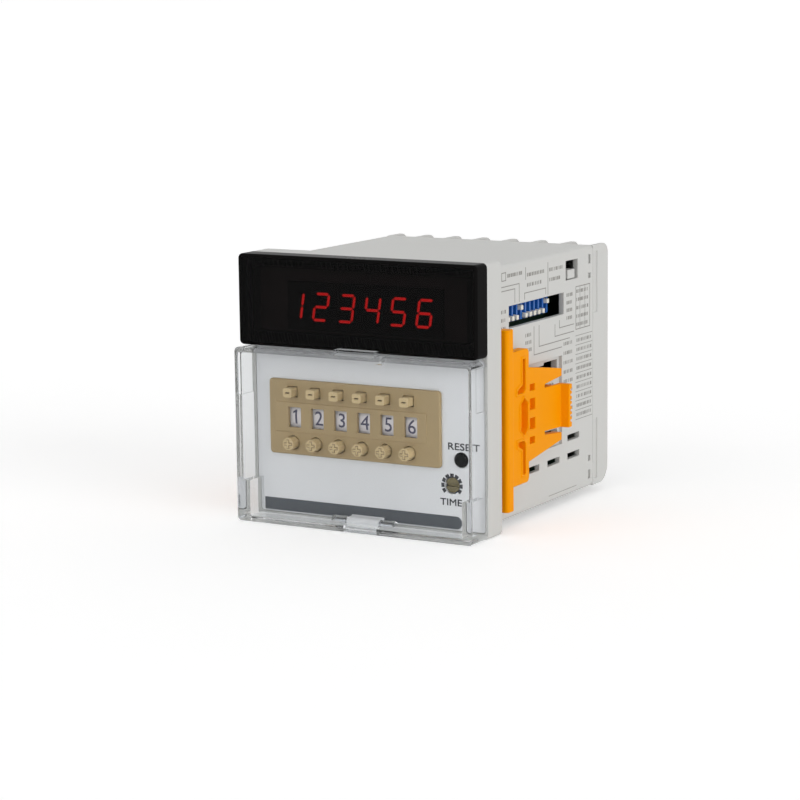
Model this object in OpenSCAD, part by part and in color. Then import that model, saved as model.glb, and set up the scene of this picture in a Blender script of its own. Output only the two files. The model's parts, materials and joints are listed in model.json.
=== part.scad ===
/* [Front] */
// Width and height of the square front
front_size = 72; // [70:0.5:78]
// Thickness of the flange that seats on the panel
flange_t = 7.6; // [7:0.1:9]
// Corner radius of the front, seen from the front
front_corner_r = 1.3; // [1:0.1:3.5]
// Width of the flange rim around the front plate
rim_w = 1.8; // [1.4:0.1:2.2]
// Thickness of the front plate
plate_t = 2; // [1.6:0.1:2.4]

/* [Case] */
// Width of the sleeve behind the panel
case_w = 66; // [64.5:0.5:67.5]
// Height of the sleeve behind the panel
case_h = 67.8; // [66.5:0.1:68]
// Length of the sleeve behind the panel
case_len = 60.5; // [59:0.5:70]
// Wall thickness of the sleeve
wall = 1.6; // [1.4:0.1:2]
// Corner radius of the sleeve, seen from the front
case_corner_r = 1.2; // [0.6:0.1:2]

/* [Display window] */
// Height of the smoked display window
window_h = 24.4; // [23:0.2:26]
// Depth of the window in front of the flange
window_depth = 5.9; // [5:0.1:7]
// Thickness of the window's front pane
window_pane = 2.2; // [1.6:0.1:2.6]
// Width of the solid border around the window's hollow
window_border = 3.7; // [3:0.1:4.5]
// Distance between digits
digit_pitch = 7.85; // [7:0.05:8.4]
// Height of one digit module
digit_module_h = 12.7; // [11:0.1:14]
// Height of the digits' centre above the middle of the front
digits_z = 22.2; // [21:0.1:23]

/* [Clear cover] */
// Depth of the cover in front of the plate
cover_depth = 8.8; // [7.6:0.1:10]
// Thickness of the cover's front wall
cover_front_t = 1.7; // [1.4:0.1:2]
// Thickness of the cover's side, top and bottom walls
cover_wall = 1.5; // [1.3:0.1:1.8]
// Radius of the hinge knuckles
hinge_r = 1.4; // [1.2:0.1:1.5]
// Diameter of the hinge pin
hinge_pin_d = 1.2; // [0.9:0.1:1.4]
// Width of the hinge lug on the front plate
lug_w = 9.6; // [8:0.2:12]
// Width of the thumb tab on the cover's top edge
tab_w = 12; // [8:0.5:16]
// Height of the thumb tab
tab_h = 1.2; // [0.8:0.1:1.6]
// Height of the thick lower legs inside the cover
leg_h = 9.6; // [7:0.2:11]

/* [Push-wheel switch] */
// Width of the switch bezel
block_w = 52.3; // [50:0.1:54]
// Height of the switch bezel
block_h = 20.3; // [19.6:0.1:21]
// Centre of the bezel, across
block_x = -3.5; // [-4:0.1:-3]
// Centre of the bezel, up
block_z = -7.85; // [-8.5:0.05:-7]
// Height of the bezel above the front plate
block_proud = 1; // [0.8:0.1:1.4]
// Distance between the switch units
unit_pitch = 7.12; // [6.9:0.02:7.3]
// Width of one number window
number_window_w = 3.9; // [3.6:0.1:4.2]
// Height of one number window
number_window_h = 5.45; // [4.6:0.05:6]
// Radius of the number wheels
wheel_r = 7.6; // [7:0.1:8]
// Width of the number wheels
wheel_w = 5.3; // [4.8:0.1:5.4]
// Diameter of the wheel axles
axle_d = 3; // [2.4:0.1:3.4]
// Width of a minus button
minus_w = 2.7; // [2.2:0.1:3]
// Height of a minus button
minus_h = 2.5; // [2.1:0.1:2.8]
// Width across the flats of a plus button
plus_d = 3.2; // [2.6:0.1:3.3]
// Height of the buttons above the bezel
button_proud = 2.7; // [2:0.1:3]
// Travel of the buttons
button_travel = 1.2; // [0.8:0.1:1.2]
// Distance of the buttons above and below the wheel axle
button_offset = 6.9; // [6.8:0.05:7]

/* [Reset and time] */
// Diameter of the reset button
reset_d = 3.7; // [3:0.1:4.2]
// Travel of the reset button
reset_travel = 0.5; // [0.3:0.1:0.6]
// Diameter of the time trimmer's rotor
trimmer_d = 4; // [3.2:0.1:4.4]

/* [Side windows] */
// Length of the lever switch window
lever_window_l = 32.3; // [30:0.1:34]
// Height of the lever switch window
lever_window_h = 5.9; // [5.4:0.1:6.4]
// Distance between the small levers
lever_pitch = 2.54; // [2.4:0.02:2.6]
// Travel of the small levers
lever_travel = 2.4; // [1.8:0.1:2.6]
// Length of the selector hole
selector_l = 7.4; // [6.4:0.1:8]
// Height of the selector hole
selector_h = 5.3; // [5:0.1:5.6]
// Travel of the selector knob
selector_travel = 2.4; // [1.8:0.1:2.4]
// Length of a vent slot
vent_l = 7.4; // [6:0.1:7.8]
// Height of a vent slot
vent_h = 1.7; // [1.2:0.1:2.2]

/* [Terminal block] */
// Length of the terminal block behind the sleeve
block_len = 9.8; // [9:0.1:12]
// Number of terminals in a row
terminals = 7; // [5:1:7]
// Thickness of the cheeks at the ends of the rows
cheek_t = 1.3; // [1.1:0.1:2]
// Thickness of the barriers between the terminals
barrier_t = 1.6; // [1.2:0.1:2]
// Height of a terminal bay
bay_h = 13.4; // [12.6:0.1:15]
// Diameter of the terminal screws
screw_d = 3; // [2.5:0.1:3.5]
// Diameter of the terminal screws' heads
screw_head_d = 6; // [5:0.1:6.2]

/* [Bracket] */
// Height of the bar that bears on the panel
bar_h = 48.1; // [44:0.1:52]
// Panel thickness that the bracket is set for
panel_t = 2.2; // [2.1:0.1:4]
// Height of the ladder behind the bar
ladder_h = 35.8; // [33:0.1:38]
// Height of the bracket's centre
bracket_z = -6.6; // [-8:0.1:-6]
// Thickness of the bracket over the sleeve's side
bracket_t = 2.7; // [2.4:0.1:3]
// Width of the release tongue
tongue_w = 11.8; // [9:0.1:12.4]
// Depth of the bracket's recess in the sleeve
recess_depth = 1; // [0.8:0.1:1.2]

/* [Hidden] */
$fn = 64;
// Gap between fixed pieces and gap around moving pieces
gap = 0.2;
run = 0.3;
// Clearance on the radius of a running shaft
shaft_gap = 0.05;
// Overrun of a cut, and overlap of solids that make one piece
cut = 1;
sink = 0.2;

// Planes of the front, counted back from the panel plane at Y = 0
front_y = -flange_t;
plate_back_y = front_y + plate_t;
board_t = 1.6;
board_stand = 3.6;
display_board_y = plate_back_y + board_stand;
window_z = front_size / 2 - window_h / 2;
window_bottom = front_size / 2 - window_h;
window_edge_r = 0.8;
inner_r = 0.8;
digit_proud = 0.6;

// Sleeve
cavity_w = case_w - 2 * wall;
cavity_h = case_h - 2 * wall;
side_x = case_w / 2;

// Front plate
plate_size = front_size - 2 * rim_w;
plate_corner_r = 1;
post_r = 1.6;
post_x = cavity_w / 2 - post_r - gap;
post_z = cavity_h / 2 - post_r - gap;
strip_t = 0.3;
strip_gap = 0.05;
strip_h = 3.4;
strip_left = 1.9;
strip_right = 5.8;
strip_rise = 2;
strip_x0 = -plate_size / 2 + strip_left;
strip_x1 = plate_size / 2 - strip_right;
strip_z = -plate_size / 2 + strip_rise;

// Clear cover
lug_room = 0.4;
cover_edge_r = 0.6;
cover_size = front_size - gap;
cover_top = window_bottom - run;
cover_bottom = -cover_size / 2;
cover_h = cover_top - cover_bottom;
cover_z = (cover_top + cover_bottom) / 2;
cover_front_y = front_y - cover_depth;
cover_back_y = front_y - run;
hinge_y = front_y - hinge_r - lug_room;
hinge_z = cover_bottom + hinge_r;
knuckle_w = 4.4;
tab_x = 1.5;
tab_depth = 2.4;
leg_t = 2.1;
finger_recess = 0.5;
finger_l = 5.6;
finger_h = 11.4;
finger_drop = 1.8;
notch_w = 1.8;
notch_gap = 0.4;
pin_end = 0.8;
pin_half = lug_w / 2 + run + knuckle_w - pin_end;

// Push-wheel switch
units = 6;
block_front_y = front_y - block_proud;
block_wall = 1.6;
block_back_y = block_front_y + block_wall;
wheel_gap = 0.25;
wheel_pocket = 0.85;
wheel_pocket_h = 6.6;
number_window_shift = 0.2;
wheel_front_y = block_back_y + wheel_gap - wheel_pocket;
axle_y = wheel_front_y + wheel_r;
wafer_wall = 0.9;
wafer_rim = 0.8;
wafer_w = unit_pitch - gap / 2;
wafer_gap = 0.1;
wafer_front_y = block_back_y + wafer_gap;
drum_t = 1.2;
axle_short = 0.6;
wafer_back_y = axle_y + wheel_r + run + wafer_rim;
stem_room = 1.4;
wafer_half_h = max(wheel_r + run, button_offset + stem_room) + wafer_rim;
stack_shift = -0.5;
stack_x = block_x + stack_shift;
stack_w = units * unit_pitch;
end_plate_t = 1;
body_w = stack_w + end_plate_t;
body_h = 2 * wafer_half_h;
body_x = stack_x + end_plate_t / 2;
button_face_y = block_front_y - button_proud;
button_shift = -0.5;
stem_size = 1.6;
// A pressed stem stops short of the wheel behind it
stem_side = button_offset - stem_size / 2;
stem_tip_y = axle_y - sqrt(pow(wheel_r + run, 2) - pow(stem_side, 2));
stem_len = stem_tip_y - button_travel - wafer_front_y;
shoulder_t = 0.4;
mark_w = 0.44;
mark_depth = 0.3;
minus_corner_r = 0.5;
plus_mark_l = plus_d * 0.66;
band_w = 46.4;
band_h = 8;
band_shift = -1;
band_x = block_x + band_shift;
band_proud = 0.25;
band_corner_r = 0.4;
block_corner_r = 1;
block_edge_r = 0.4;

// Reset button and time trimmer
reset_inset = 3.1;
reset_x = cavity_w / 2 - reset_inset;
reset_z = -15.45;
reset_proud = 0.6;
collar_y = plate_back_y + gap;
collar_t = 0.6;
collar_d = reset_d + 1.4;
reset_tip = 2.4;
reset_tip_y = plate_back_y + reset_tip;
reset_tip_d = 3;
reset_switch_w = 5.2;
reset_switch_h = 6;
trimmer_inset = 5.9;
trimmer_x = cavity_w / 2 - trimmer_inset;
trimmer_z = -22.35;
trimmer_sunk = 0.4;
trimmer_body_w = 6.6;
trimmer_pin_d = 2;
trimmer_tip = 2.2;
trimmer_tip_y = plate_back_y + trimmer_tip;
trimmer_body_gap = 0.5;
trimmer_slot_w = 0.8;
trimmer_slot_depth = 0.7;

// Side boards
side_board_gap = 4.8;
side_board_x = cavity_w / 2 - side_board_gap - board_t;
side_board_y0 = 14;
board_back_gap = 5;
side_board_y1 = case_len - board_back_gap;
main_board_lead = 12;
power_board_lead = 2;
rail_w = 0.8;
rail_h = 1.6;

// Transformer on the left board
core_y = 38;
core_l = 24;
core_h = 28;
core_t = 12;
core_window_y = 6;
core_window_l = 4;
core_window_h = 20;
coil_over = 3;

// Relay and capacitor on the left board
part_y = 20;
relay_z = 16;
relay_l = 10;
relay_h = 20;
relay_t = 15.5;
capacitor_z = -20;
capacitor_d = 10;
capacitor_l = 16;

// Lever switch, selector and vents
levers = 10;
levers_up = [4, 10];
lever_window_y = 26.2;
lever_window_drop = 14.1;
lever_window_z = case_h / 2 - lever_window_drop;
lever_face_depth = 3.4;
lever_face_x = side_x - lever_face_depth;
lever_size = 1.3;
lever_proud = 1;
lever_sunk = 1.4;
lever_low = 1.3;
lever_low_z = lever_window_z - lever_low;
lever_body_h = 7.2;
lever_body_low = 1;
lever_body_end = 0.4;
lever_body_l = levers * lever_pitch + 2 * lever_body_end;
lever_body_z = lever_low_z - lever_body_low + lever_body_h / 2;
selector_y = 47.3;
selector_drop = 5.4;
selector_z = case_h / 2 - selector_drop;
selector_end = 2.1;
selector_lid = 0.4;
selector_body_l = selector_l + 2 * selector_end;
selector_body_h = selector_h + 2 * selector_lid;
selector_floor = 1;
selector_slot_end = 0.5;
selector_slot_h = selector_h - 2 * selector_slot_end;
knob_l = 4.3;
knob_h = selector_h - selector_travel - 2 * gap;
knob_depth = 2.1;
knob_back_x = side_x - wall - knob_depth;
stem_l = 2;
stem_h = knob_h - 2 * selector_slot_end;
rail_y1 = selector_y - selector_body_l / 2 - run;
vent_row_z = -23;
vent_upper_z = -17.9;
vent_pitch = 12.25;
vent_y = 48.3;

// Terminal block
terminal_pitch = (case_w - 2 * cheek_t + barrier_t) / terminals;
bay_w = terminal_pitch - barrier_t;
block_y0 = case_len + gap / 2;
block_y1 = case_len + block_len;
bay_floor = 0.5;
bay_floor_y = case_len + bay_floor;
block_insert = 3;
block_top_r = 3;
block_low_r = 5;
terminal_z = case_h / 2 - bay_h / 2;
tab_t = 1;
clamp_t = 1;
clamp_h = 6.4;
tail_z = 5;
tail_w = 4;
tail_t = 0.8;
screw_floor = 0.6;
screw_len = block_insert - screw_floor;
cross_w = 0.9;
cross_l = screw_head_d * 0.72;
tab_len = 10.6;
tab_shift = 0.7;
tab_side = 0.6;
clamp_side = 0.7;
tail_len = 5;
panel_side = 3;
panel_end = 2;
panel_depth = 1.2;
head_h = 2.2;
// Height below the sleeve's corner and length of each latch window
latches = [[3.6, 2.5], [8.2, 1.5]];
latch_l = 1.4;
latch_back = 2.05;
latch_y = case_len - latch_back;
barb_sunk = 0.5;
groove_w = 2.6;
groove_depth = 0.4;
groove_end = 1.8;
groove_start = 0.3;
groove_half = 15;
groove_len = case_h / 2 - groove_half - groove_end;

// Bracket
bracket_in_x = side_x + run;
bracket_out_x = bracket_in_x + bracket_t;
bar_d = 3.9;
bar_proud = 0.6;
bar_y = panel_t;
ladder_len = 13.4;
ladder_y1 = bar_y + ladder_len;
ladder_corner_r = 1.4;
prong_len = 32.8;
prong_y1 = bar_y + prong_len;
fork_depth = 22.7;
fork_y = bar_y + fork_depth;
prong_root = 12.8;
prong_tip = 9.8;
fork_gap = 0.9;
fork_half = tongue_w / 2 + fork_gap;
lip_reach = 30.2;
lip_y = bar_y + lip_reach;
lip_l = 2.2;
lip_h = 2.4;
ridge_pitch = 1.4;
ridge_gap = 0.6;
ridge_depth = 0.4;
ridge_l = 1;
recess_y0 = 6.5;
recess_len = 39;
recess_y1 = bar_y + recess_len;
recess_y = (recess_y0 + recess_y1) / 2;
recess_l = recess_y1 - recess_y0;
recess_h = 24.4;
pad_t = 1.4;
pad_edge = 1;
inside_x = side_x - wall - pad_t - cut;
slot_h = 2.8;
slot_z = 9.2;
slot_start = 14;
slot_end = 38;
slot_y0 = bar_y + slot_start;
slot_y1 = bar_y + slot_end;
hook_start = 20;
hook_l = 7;
hook_y0 = bar_y + hook_start;
hook_y1 = hook_y0 + hook_l;
hook_t = 2;
hook_foot = 0.7;
entry_room = 1;
entry_l = hook_l + entry_room;
tooth_pitch = 1.5;
tooth_start = 4;
tooth_h = 0.7;
tooth_w = tongue_w - 1.2;
pocket_depth = 1.7;
tongue_t = 1.4;
tongue_rise = 0.9;
tongue_root = 4;
pawl_back = 2;
pawl_l = 3;
pawl_tip = 0.6;
pawl_step = 0.4;
prong_w = 2.1;
bar_edge_r = 1;

// Pockets of the ladder, counted back from the bar's face and up from the bracket's middle
spring_y = 9.3;
spring_w = 1.5;
spring_top = 15.4;
spring_low = 6.4;
spring_knee = 0.8;
spring_foot_y = 6.4;
spring_foot_w = 1;
spring_slope = 1.2;
lozenge_y = 10.2;
lozenge_half_w = 2;
lozenge_flat = 3.4;
lozenge_tip = 5;
web_y = 13.9;
web_outer_z = 7.1;
web_outer_l = 3;
web_outer_h = 1.8;
web_inner_z = 2.6;
web_inner_l = 3.2;
web_inner_h = 3;
pocket_rim_w = 0.6;
pocket_rim_h = 0.35;

function unit_x(i) = stack_x + (i - (units + 1) / 2) * unit_pitch;
function lever_y(i) = lever_window_y + (i - (levers + 1) / 2) * lever_pitch;
function is_up(i) = len([for (u = levers_up) if (u == i) u]) > 0;
function lever_rest_z(i) = lever_low_z + (is_up(i) ? lever_travel : 0);
function terminal_x(i) = (i - (terminals + 1) / 2) * terminal_pitch;

// Extrudes a profile drawn across and up, from y0 back to y1
module along_y(y0, y1) {
    translate([0, y1, 0]) rotate([90, 0, 0]) linear_extrude(y1 - y0) children();
}

// Extrudes a profile drawn back and up, from x0 across to x1
module along_x(x0, x1) {
    translate([x0, 0, 0]) rotate([90, 0, 90]) linear_extrude(x1 - x0) children();
}

// Rod along the depth, at x across and z up
module rod_y(x, z, y0, y1, d) {
    along_y(y0, y1) translate([x, z]) circle(d = d);
}

// Rod across, at y back and z up
module rod_x(y, z, x0, x1, d) {
    along_x(x0, x1) translate([y, z]) circle(d = d);
}

// Box along the depth, with its middle at x across and z up
module box_y(x, z, w, h, y0, y1) {
    translate([x - w / 2, y0, z - h / 2]) cube([w, y1 - y0, h]);
}

// Box across, with its middle at y back and z up
module box_x(y, z, l, h, x0, x1) {
    translate([x0, y - l / 2, z - h / 2]) cube([x1 - x0, l, h]);
}

// Flat rounded rectangle about the middle
module rounded(w, h, r) {
    square([w - 2 * r, h], center = true);
    square([w, h - 2 * r], center = true);
    for (sx = [-1, 1], sy = [-1, 1])
        translate([sx * (w / 2 - r), sy * (h / 2 - r)]) circle(r);
}

// Rounded slab along the depth, with its middle at height z
module slab_y(z, w, h, r, y0, y1) {
    along_y(y0, y1) translate([0, z]) rounded(w, h, r);
}

// Slab with both its front edges round, drawn across and back
module edge_profile(w, e, y0, y1) {
    translate([-w / 2, y0 + e]) square([w, y1 - y0 - e]);
    translate([-w / 2 + e, y0]) square([w - 2 * e, y1 - y0]);
    for (s = [-1, 1]) translate([s * (w / 2 - e), y0 + e]) circle(e);
}

// Rounded slab along the depth with a round front edge, with its middle at height z
module cap_y(z, w, h, r, e, y0, y1) {
    translate([0, 0, z]) {
        translate([0, 0, -h / 2 + r]) linear_extrude(h - 2 * r) edge_profile(w, e, y0, y1);
        rotate([0, 90, 0]) translate([0, 0, -w / 2 + r]) linear_extrude(w - 2 * r) edge_profile(h, e, y0, y1);
        for (sx = [-1, 1], sz = [-1, 1])
            translate([sx * (w / 2 - r), 0, sz * (h / 2 - r)]) rotate([-90, 0, 0]) rotate_extrude()
                intersection() {
                    edge_profile(2 * r, e, y0, y1);
                    translate([0, y0 - cut]) square([r + cut, y1 - y0 + 2 * cut]);
                }
    }
}

// The children and their mirror image on the other side
module both_sides() {
    children();
    mirror([1, 0, 0]) children();
}

// Windows of the right side of the sleeve only
module side_windows() {
    box_x(lever_window_y, lever_window_z, lever_window_l, lever_window_h, inside_x, side_x + cut);
    box_x(selector_y, selector_z, selector_l, selector_h, inside_x, side_x + cut);
}

// Four vent slots in one side
module vents() {
    for (i = [0:2]) box_x(vent_y - i * vent_pitch, vent_row_z, vent_l, vent_h, inside_x, side_x + cut);
    box_x(vent_y, vent_upper_z, vent_l, vent_h, inside_x, side_x + cut);
}

// Runs its children at each rear latch of one side, with the latch's height
module each_latch() {
    for (s = [-1, 1], latch = latches)
        translate([0, latch_y, s * (case_h / 2 - latch[0])]) {
            $latch_h = latch[1];
            children();
        }
}

// Recess that the bracket slides over, with two hook slots that widen at the rear
module bracket_recess() {
    box_x(recess_y, bracket_z, recess_l, recess_h, side_x - recess_depth, side_x + cut);
    for (s = [-1, 1]) {
        slot_l = slot_end - slot_start;
        entry_z = bracket_z + s * (slot_z + hook_foot);
        box_x(slot_y1 - slot_l / 2, bracket_z + s * slot_z, slot_l, slot_h, inside_x, side_x + cut);
        box_x(slot_y1 - entry_l / 2, entry_z, entry_l, slot_h, inside_x, side_x + cut);
    }
}

// Ratchet teeth in the recess, under the tongue
module ratchet() {
    floor_x = side_x - recess_depth;
    for (y = [slot_y0 + tooth_start : tooth_pitch : slot_y1 - 2 * tooth_pitch])
        translate([0, 0, bracket_z - tooth_w / 2]) linear_extrude(tooth_w)
            polygon([[floor_x - sink, y], [floor_x + tooth_h, y],
                     [floor_x, y + tooth_pitch], [floor_x - sink, y + tooth_pitch]]);
}

// Rails that hold the top and bottom edges of a side board
module board_rails() {
    for (s = [-1, 1], x = [side_board_x - gap / 2 - rail_w, side_board_x + board_t + gap / 2])
        box_x((side_board_y0 + rail_y1) / 2, s * (cavity_h / 2 - rail_h / 2 + sink),
              rail_y1 - side_board_y0, rail_h + sink, x, x + rail_w);
}

module case() {
    color("gainsboro") {
        difference() {
            union() {
                slab_y(0, front_size, front_size, front_corner_r, front_y, 0);
                slab_y(0, case_w, case_h, case_corner_r, -cut, case_len);
            }
            slab_y(0, plate_size + 2 * gap, plate_size + 2 * gap, plate_corner_r,
                   front_y - cut, plate_back_y);
            difference() {
                box_y(0, 0, cavity_w, cavity_h, plate_back_y - cut, case_len + cut);
                both_sides()
                    box_x(recess_y, bracket_z, recess_l + 2 * pad_edge, recess_h + 2 * pad_edge,
                          cavity_w / 2 - pad_t, side_x);
            }
            both_sides() bracket_recess();
            both_sides() vents();
            both_sides() each_latch() box_x(0, 0, latch_l, $latch_h, cavity_w / 2 - cut, side_x + cut);
            side_windows();
        }
        both_sides() ratchet();
        both_sides() board_rails();
    }
}

// Lug at the foot of the plate, round about the hinge pin
module hinge_lug() {
    rod_x(hinge_y, hinge_z, -lug_w / 2, lug_w / 2, 2 * hinge_r);
    box_y(0, hinge_z, lug_w, 2 * hinge_r, hinge_y, front_y);
    translate([-lug_w / 2, hinge_y, -plate_size / 2 + gap])
        cube([lug_w, plate_back_y - hinge_y, hinge_z + hinge_r + plate_size / 2 - gap]);
}

module front_plate() {
    y0 = front_y - cut;
    y1 = plate_back_y + cut;
    color("whitesmoke") difference() {
        union() {
            slab_y(0, plate_size, plate_size, plate_corner_r, front_y, plate_back_y);
            for (sx = [-1, 1], sz = [-1, 1])
                rod_y(sx * post_x, sz * post_z, plate_back_y - sink, display_board_y, 2 * post_r);
            hinge_lug();
        }
        rod_x(hinge_y, hinge_z, -lug_w, lug_w, hinge_pin_d + 2 * shaft_gap);
        box_y(0, digits_z, units * digit_pitch + 2 * gap, digit_module_h + 2 * gap, y0, y1);
        box_y(body_x, block_z, body_w + 2 * gap, body_h + 2 * gap, y0, y1);
        rod_y(reset_x, reset_z, y0, y1, reset_d + 2 * gap);
        rod_y(trimmer_x, trimmer_z, y0, y1, trimmer_d + 2 * run);
        front_strip_shape(y0, front_y + strip_t, 0);
    }
}

// Outline of the strip, with one round end and a notch for the hinge lug, drawn with a margin
module front_strip_shape(y0, y1, margin) {
    notch_half = lug_w / 2 + gap + margin;
    notch_top = hinge_z + hinge_r + gap + margin;
    along_y(y0, y1) difference() {
        union() {
            translate([strip_x0 + margin, strip_z - strip_h / 2 + margin])
                square([strip_x1 - strip_x0 - strip_h / 2 - margin, strip_h - 2 * margin]);
            translate([strip_x1 - strip_h / 2, strip_z]) circle(strip_h / 2 - margin);
        }
        translate([-notch_half, notch_top - strip_h]) square([2 * notch_half, strip_h]);
    }
}

module front_strip() {
    color("dimgray") front_strip_shape(front_y, front_y + strip_t, strip_gap);
}

// Smoked cap with a hollow for the digits
module display_window() {
    face_y = front_y - window_depth;
    color([0.07, 0.06, 0.06]) difference() {
        cap_y(window_z, front_size, window_h, front_corner_r, window_edge_r, face_y, front_y);
        slab_y(window_z, front_size - 2 * window_border, window_h - 2 * window_border, inner_r,
               face_y + window_pane, front_y + cut);
    }
}

module led_digits() {
    color([0.1, 0.05, 0.05])
        for (i = [1:units])
            box_y((i - (units + 1) / 2) * digit_pitch, digits_z, digit_pitch - 2 * strip_gap, digit_module_h,
                  front_y - digit_proud, display_board_y);
}

module display_board() {
    color("darkgreen") difference() {
        box_y(0, 0, cavity_w - 2 * gap, cavity_h - 2 * gap, display_board_y, display_board_y + board_t);
        box_y(body_x, block_z, body_w + 2 * run, body_h + 2 * run,
              display_board_y - cut, display_board_y + board_t + cut);
    }
}

// Left end of a unit's number wheel
function wheel_x0(i) = unit_x(i) - wafer_w / 2 + wafer_wall + run;

// Number window, wheel pocket behind it and button holes of one switch unit
module unit_openings(i) {
    x = unit_x(i) + button_shift;
    y0 = block_front_y - cut;
    y1 = block_back_y + cut;
    box_y(unit_x(i) + number_window_shift, block_z, number_window_w, number_window_h, y0, y1);
    box_y(wheel_x0(i) + wheel_w / 2, block_z, wheel_w + 2 * run, wheel_pocket_h,
          block_back_y - wheel_pocket, y1);
    box_y(x, block_z + button_offset, minus_w + 2 * gap, minus_h + 2 * gap, y0, y1);
    rod_y(x, block_z - button_offset, y0, y1, plus_d / cos(22.5) + 2 * gap);
}

// Bezel with a raised band around the number windows
module switch_frame() {
    color("tan") difference() {
        union() {
            translate([block_x, 0, 0])
                cap_y(block_z, block_w, block_h, block_corner_r, block_edge_r, block_front_y, front_y);
            translate([band_x, 0, 0])
                slab_y(block_z, band_w, band_h, band_corner_r, block_front_y - band_proud, front_y);
            box_y(body_x, block_z, body_w, body_h, front_y - sink, block_back_y);
        }
        for (i = [1:units]) unit_openings(i);
    }
}

// Housings open to the right and the front, each with its axle
module switch_wafers() {
    color("burlywood")
        for (i = [1:units]) {
            x = unit_x(i);
            difference() {
                box_y(x, block_z, wafer_w, body_h, wafer_front_y, wafer_back_y);
                box_y(x + wafer_wall, block_z, wafer_w, body_h - 2 * wafer_rim,
                      wafer_front_y - cut, wafer_back_y - wafer_rim);
                box_y(x + wafer_wall, block_z, wafer_w, body_h + cut,
                      wafer_front_y - cut, stem_tip_y);
            }
            rod_x(axle_y, block_z, x - wafer_w / 2 + wafer_wall - sink, x + wafer_w / 2 - axle_short, axle_d);
        }
}

module switch_end_plate() {
    x = stack_x + stack_w / 2 + (end_plate_t - gap) / 2;
    color("burlywood") box_y(x, block_z, end_plate_t - gap, body_h, wafer_front_y, wafer_back_y);
}

// Drum with a thin web and a hub that runs on the wafer's axle
module number_wheel(i) {
    rim_r = wheel_r - drum_t;
    hub_r = axle_d / 2 + drum_t;
    bore_r = axle_d / 2 + shaft_gap;
    color("white") translate([wheel_x0(i), axle_y, block_z]) rotate([0, 90, 0]) rotate_extrude()
        polygon([[bore_r, 0], [wheel_r, 0], [wheel_r, wheel_w], [rim_r, wheel_w], [rim_r, drum_t],
                 [hub_r, drum_t], [hub_r, wheel_w], [bore_r, wheel_w]]);
}

// Shoulder and stem behind a button's head
module button_stem(x, z) {
    box_y(x, z, plus_d + 2 * run, stem_size, wafer_front_y, wafer_front_y + shoulder_t);
    box_y(x, z, stem_size, stem_size, wafer_front_y - sink, wafer_front_y + stem_len);
}

// Square button with a sunk bar
module minus_button(i) {
    x = unit_x(i) + button_shift;
    z = block_z + button_offset;
    color("tan") {
        difference() {
            translate([x, 0, 0])
                slab_y(z, minus_w, minus_h, minus_corner_r, button_face_y, wafer_front_y);
            box_y(x, z, minus_w / 2, mark_w, button_face_y - cut, button_face_y + mark_depth);
        }
        button_stem(x, z);
    }
}

// Eight-sided button with a raised cross
module plus_button(i) {
    x = unit_x(i) + button_shift;
    z = block_z - button_offset;
    color("tan") {
        along_y(button_face_y, wafer_front_y)
            translate([x, z]) rotate(22.5) circle(d = plus_d / cos(22.5), $fn = 8);
        box_y(x, z, plus_mark_l, mark_w, button_face_y - mark_depth, button_face_y + sink);
        box_y(x, z, mark_w, plus_mark_l, button_face_y - mark_depth, button_face_y + sink);
        button_stem(x, z);
    }
}

// Button with a collar behind the plate and a tip in the switch
module reset_button() {
    color([0.13, 0.13, 0.13]) {
        rod_y(reset_x, reset_z, front_y - reset_proud, collar_y + sink, reset_d);
        rod_y(reset_x, reset_z, collar_y, collar_y + collar_t, collar_d);
        rod_y(reset_x, reset_z, collar_y, reset_tip_y, reset_tip_d);
    }
}

module reset_switch() {
    y0 = collar_y + collar_t + reset_travel + run;
    color("dimgray") difference() {
        box_y(reset_x, reset_z, reset_switch_w, reset_switch_h, y0, display_board_y);
        rod_y(reset_x, reset_z, y0 - cut, reset_tip_y + reset_travel + gap, reset_tip_d + 2 * gap);
    }
}

module trimmer_body() {
    y0 = plate_back_y + trimmer_body_gap;
    color("royalblue") difference() {
        box_y(trimmer_x, trimmer_z, trimmer_body_w, trimmer_body_w, y0, display_board_y);
        rod_y(trimmer_x, trimmer_z, y0 - cut, trimmer_tip_y + gap, trimmer_pin_d + 2 * shaft_gap);
    }
}

// Slotted disc on a pin
module trimmer_rotor() {
    y0 = front_y + trimmer_sunk;
    y1 = plate_back_y + run;
    color("darkkhaki") difference() {
        union() {
            rod_y(trimmer_x, trimmer_z, y0, y1, trimmer_d);
            rod_y(trimmer_x, trimmer_z, y1 - sink, trimmer_tip_y, trimmer_pin_d);
        }
        box_y(trimmer_x, trimmer_z, 2 * trimmer_d, trimmer_slot_w, y0 - cut, y0 + trimmer_slot_depth);
    }
}

// Cover shell, open towards the plate, with thick legs at its lower corners
module cover_shell() {
    inner_w = cover_size - 2 * cover_wall;
    difference() {
        cap_y(cover_z, cover_size, cover_h, front_corner_r, cover_edge_r, cover_front_y, cover_back_y);
        slab_y(cover_z, inner_w, cover_h - 2 * cover_wall, inner_r,
               cover_front_y + cover_front_t, cover_back_y + cut);
    }
    both_sides() translate([inner_w / 2 - leg_t, cover_front_y + sink, cover_bottom + cover_wall - sink])
        cube([leg_t + sink, cover_back_y - cover_front_y - sink, leg_h + sink]);
}

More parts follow.
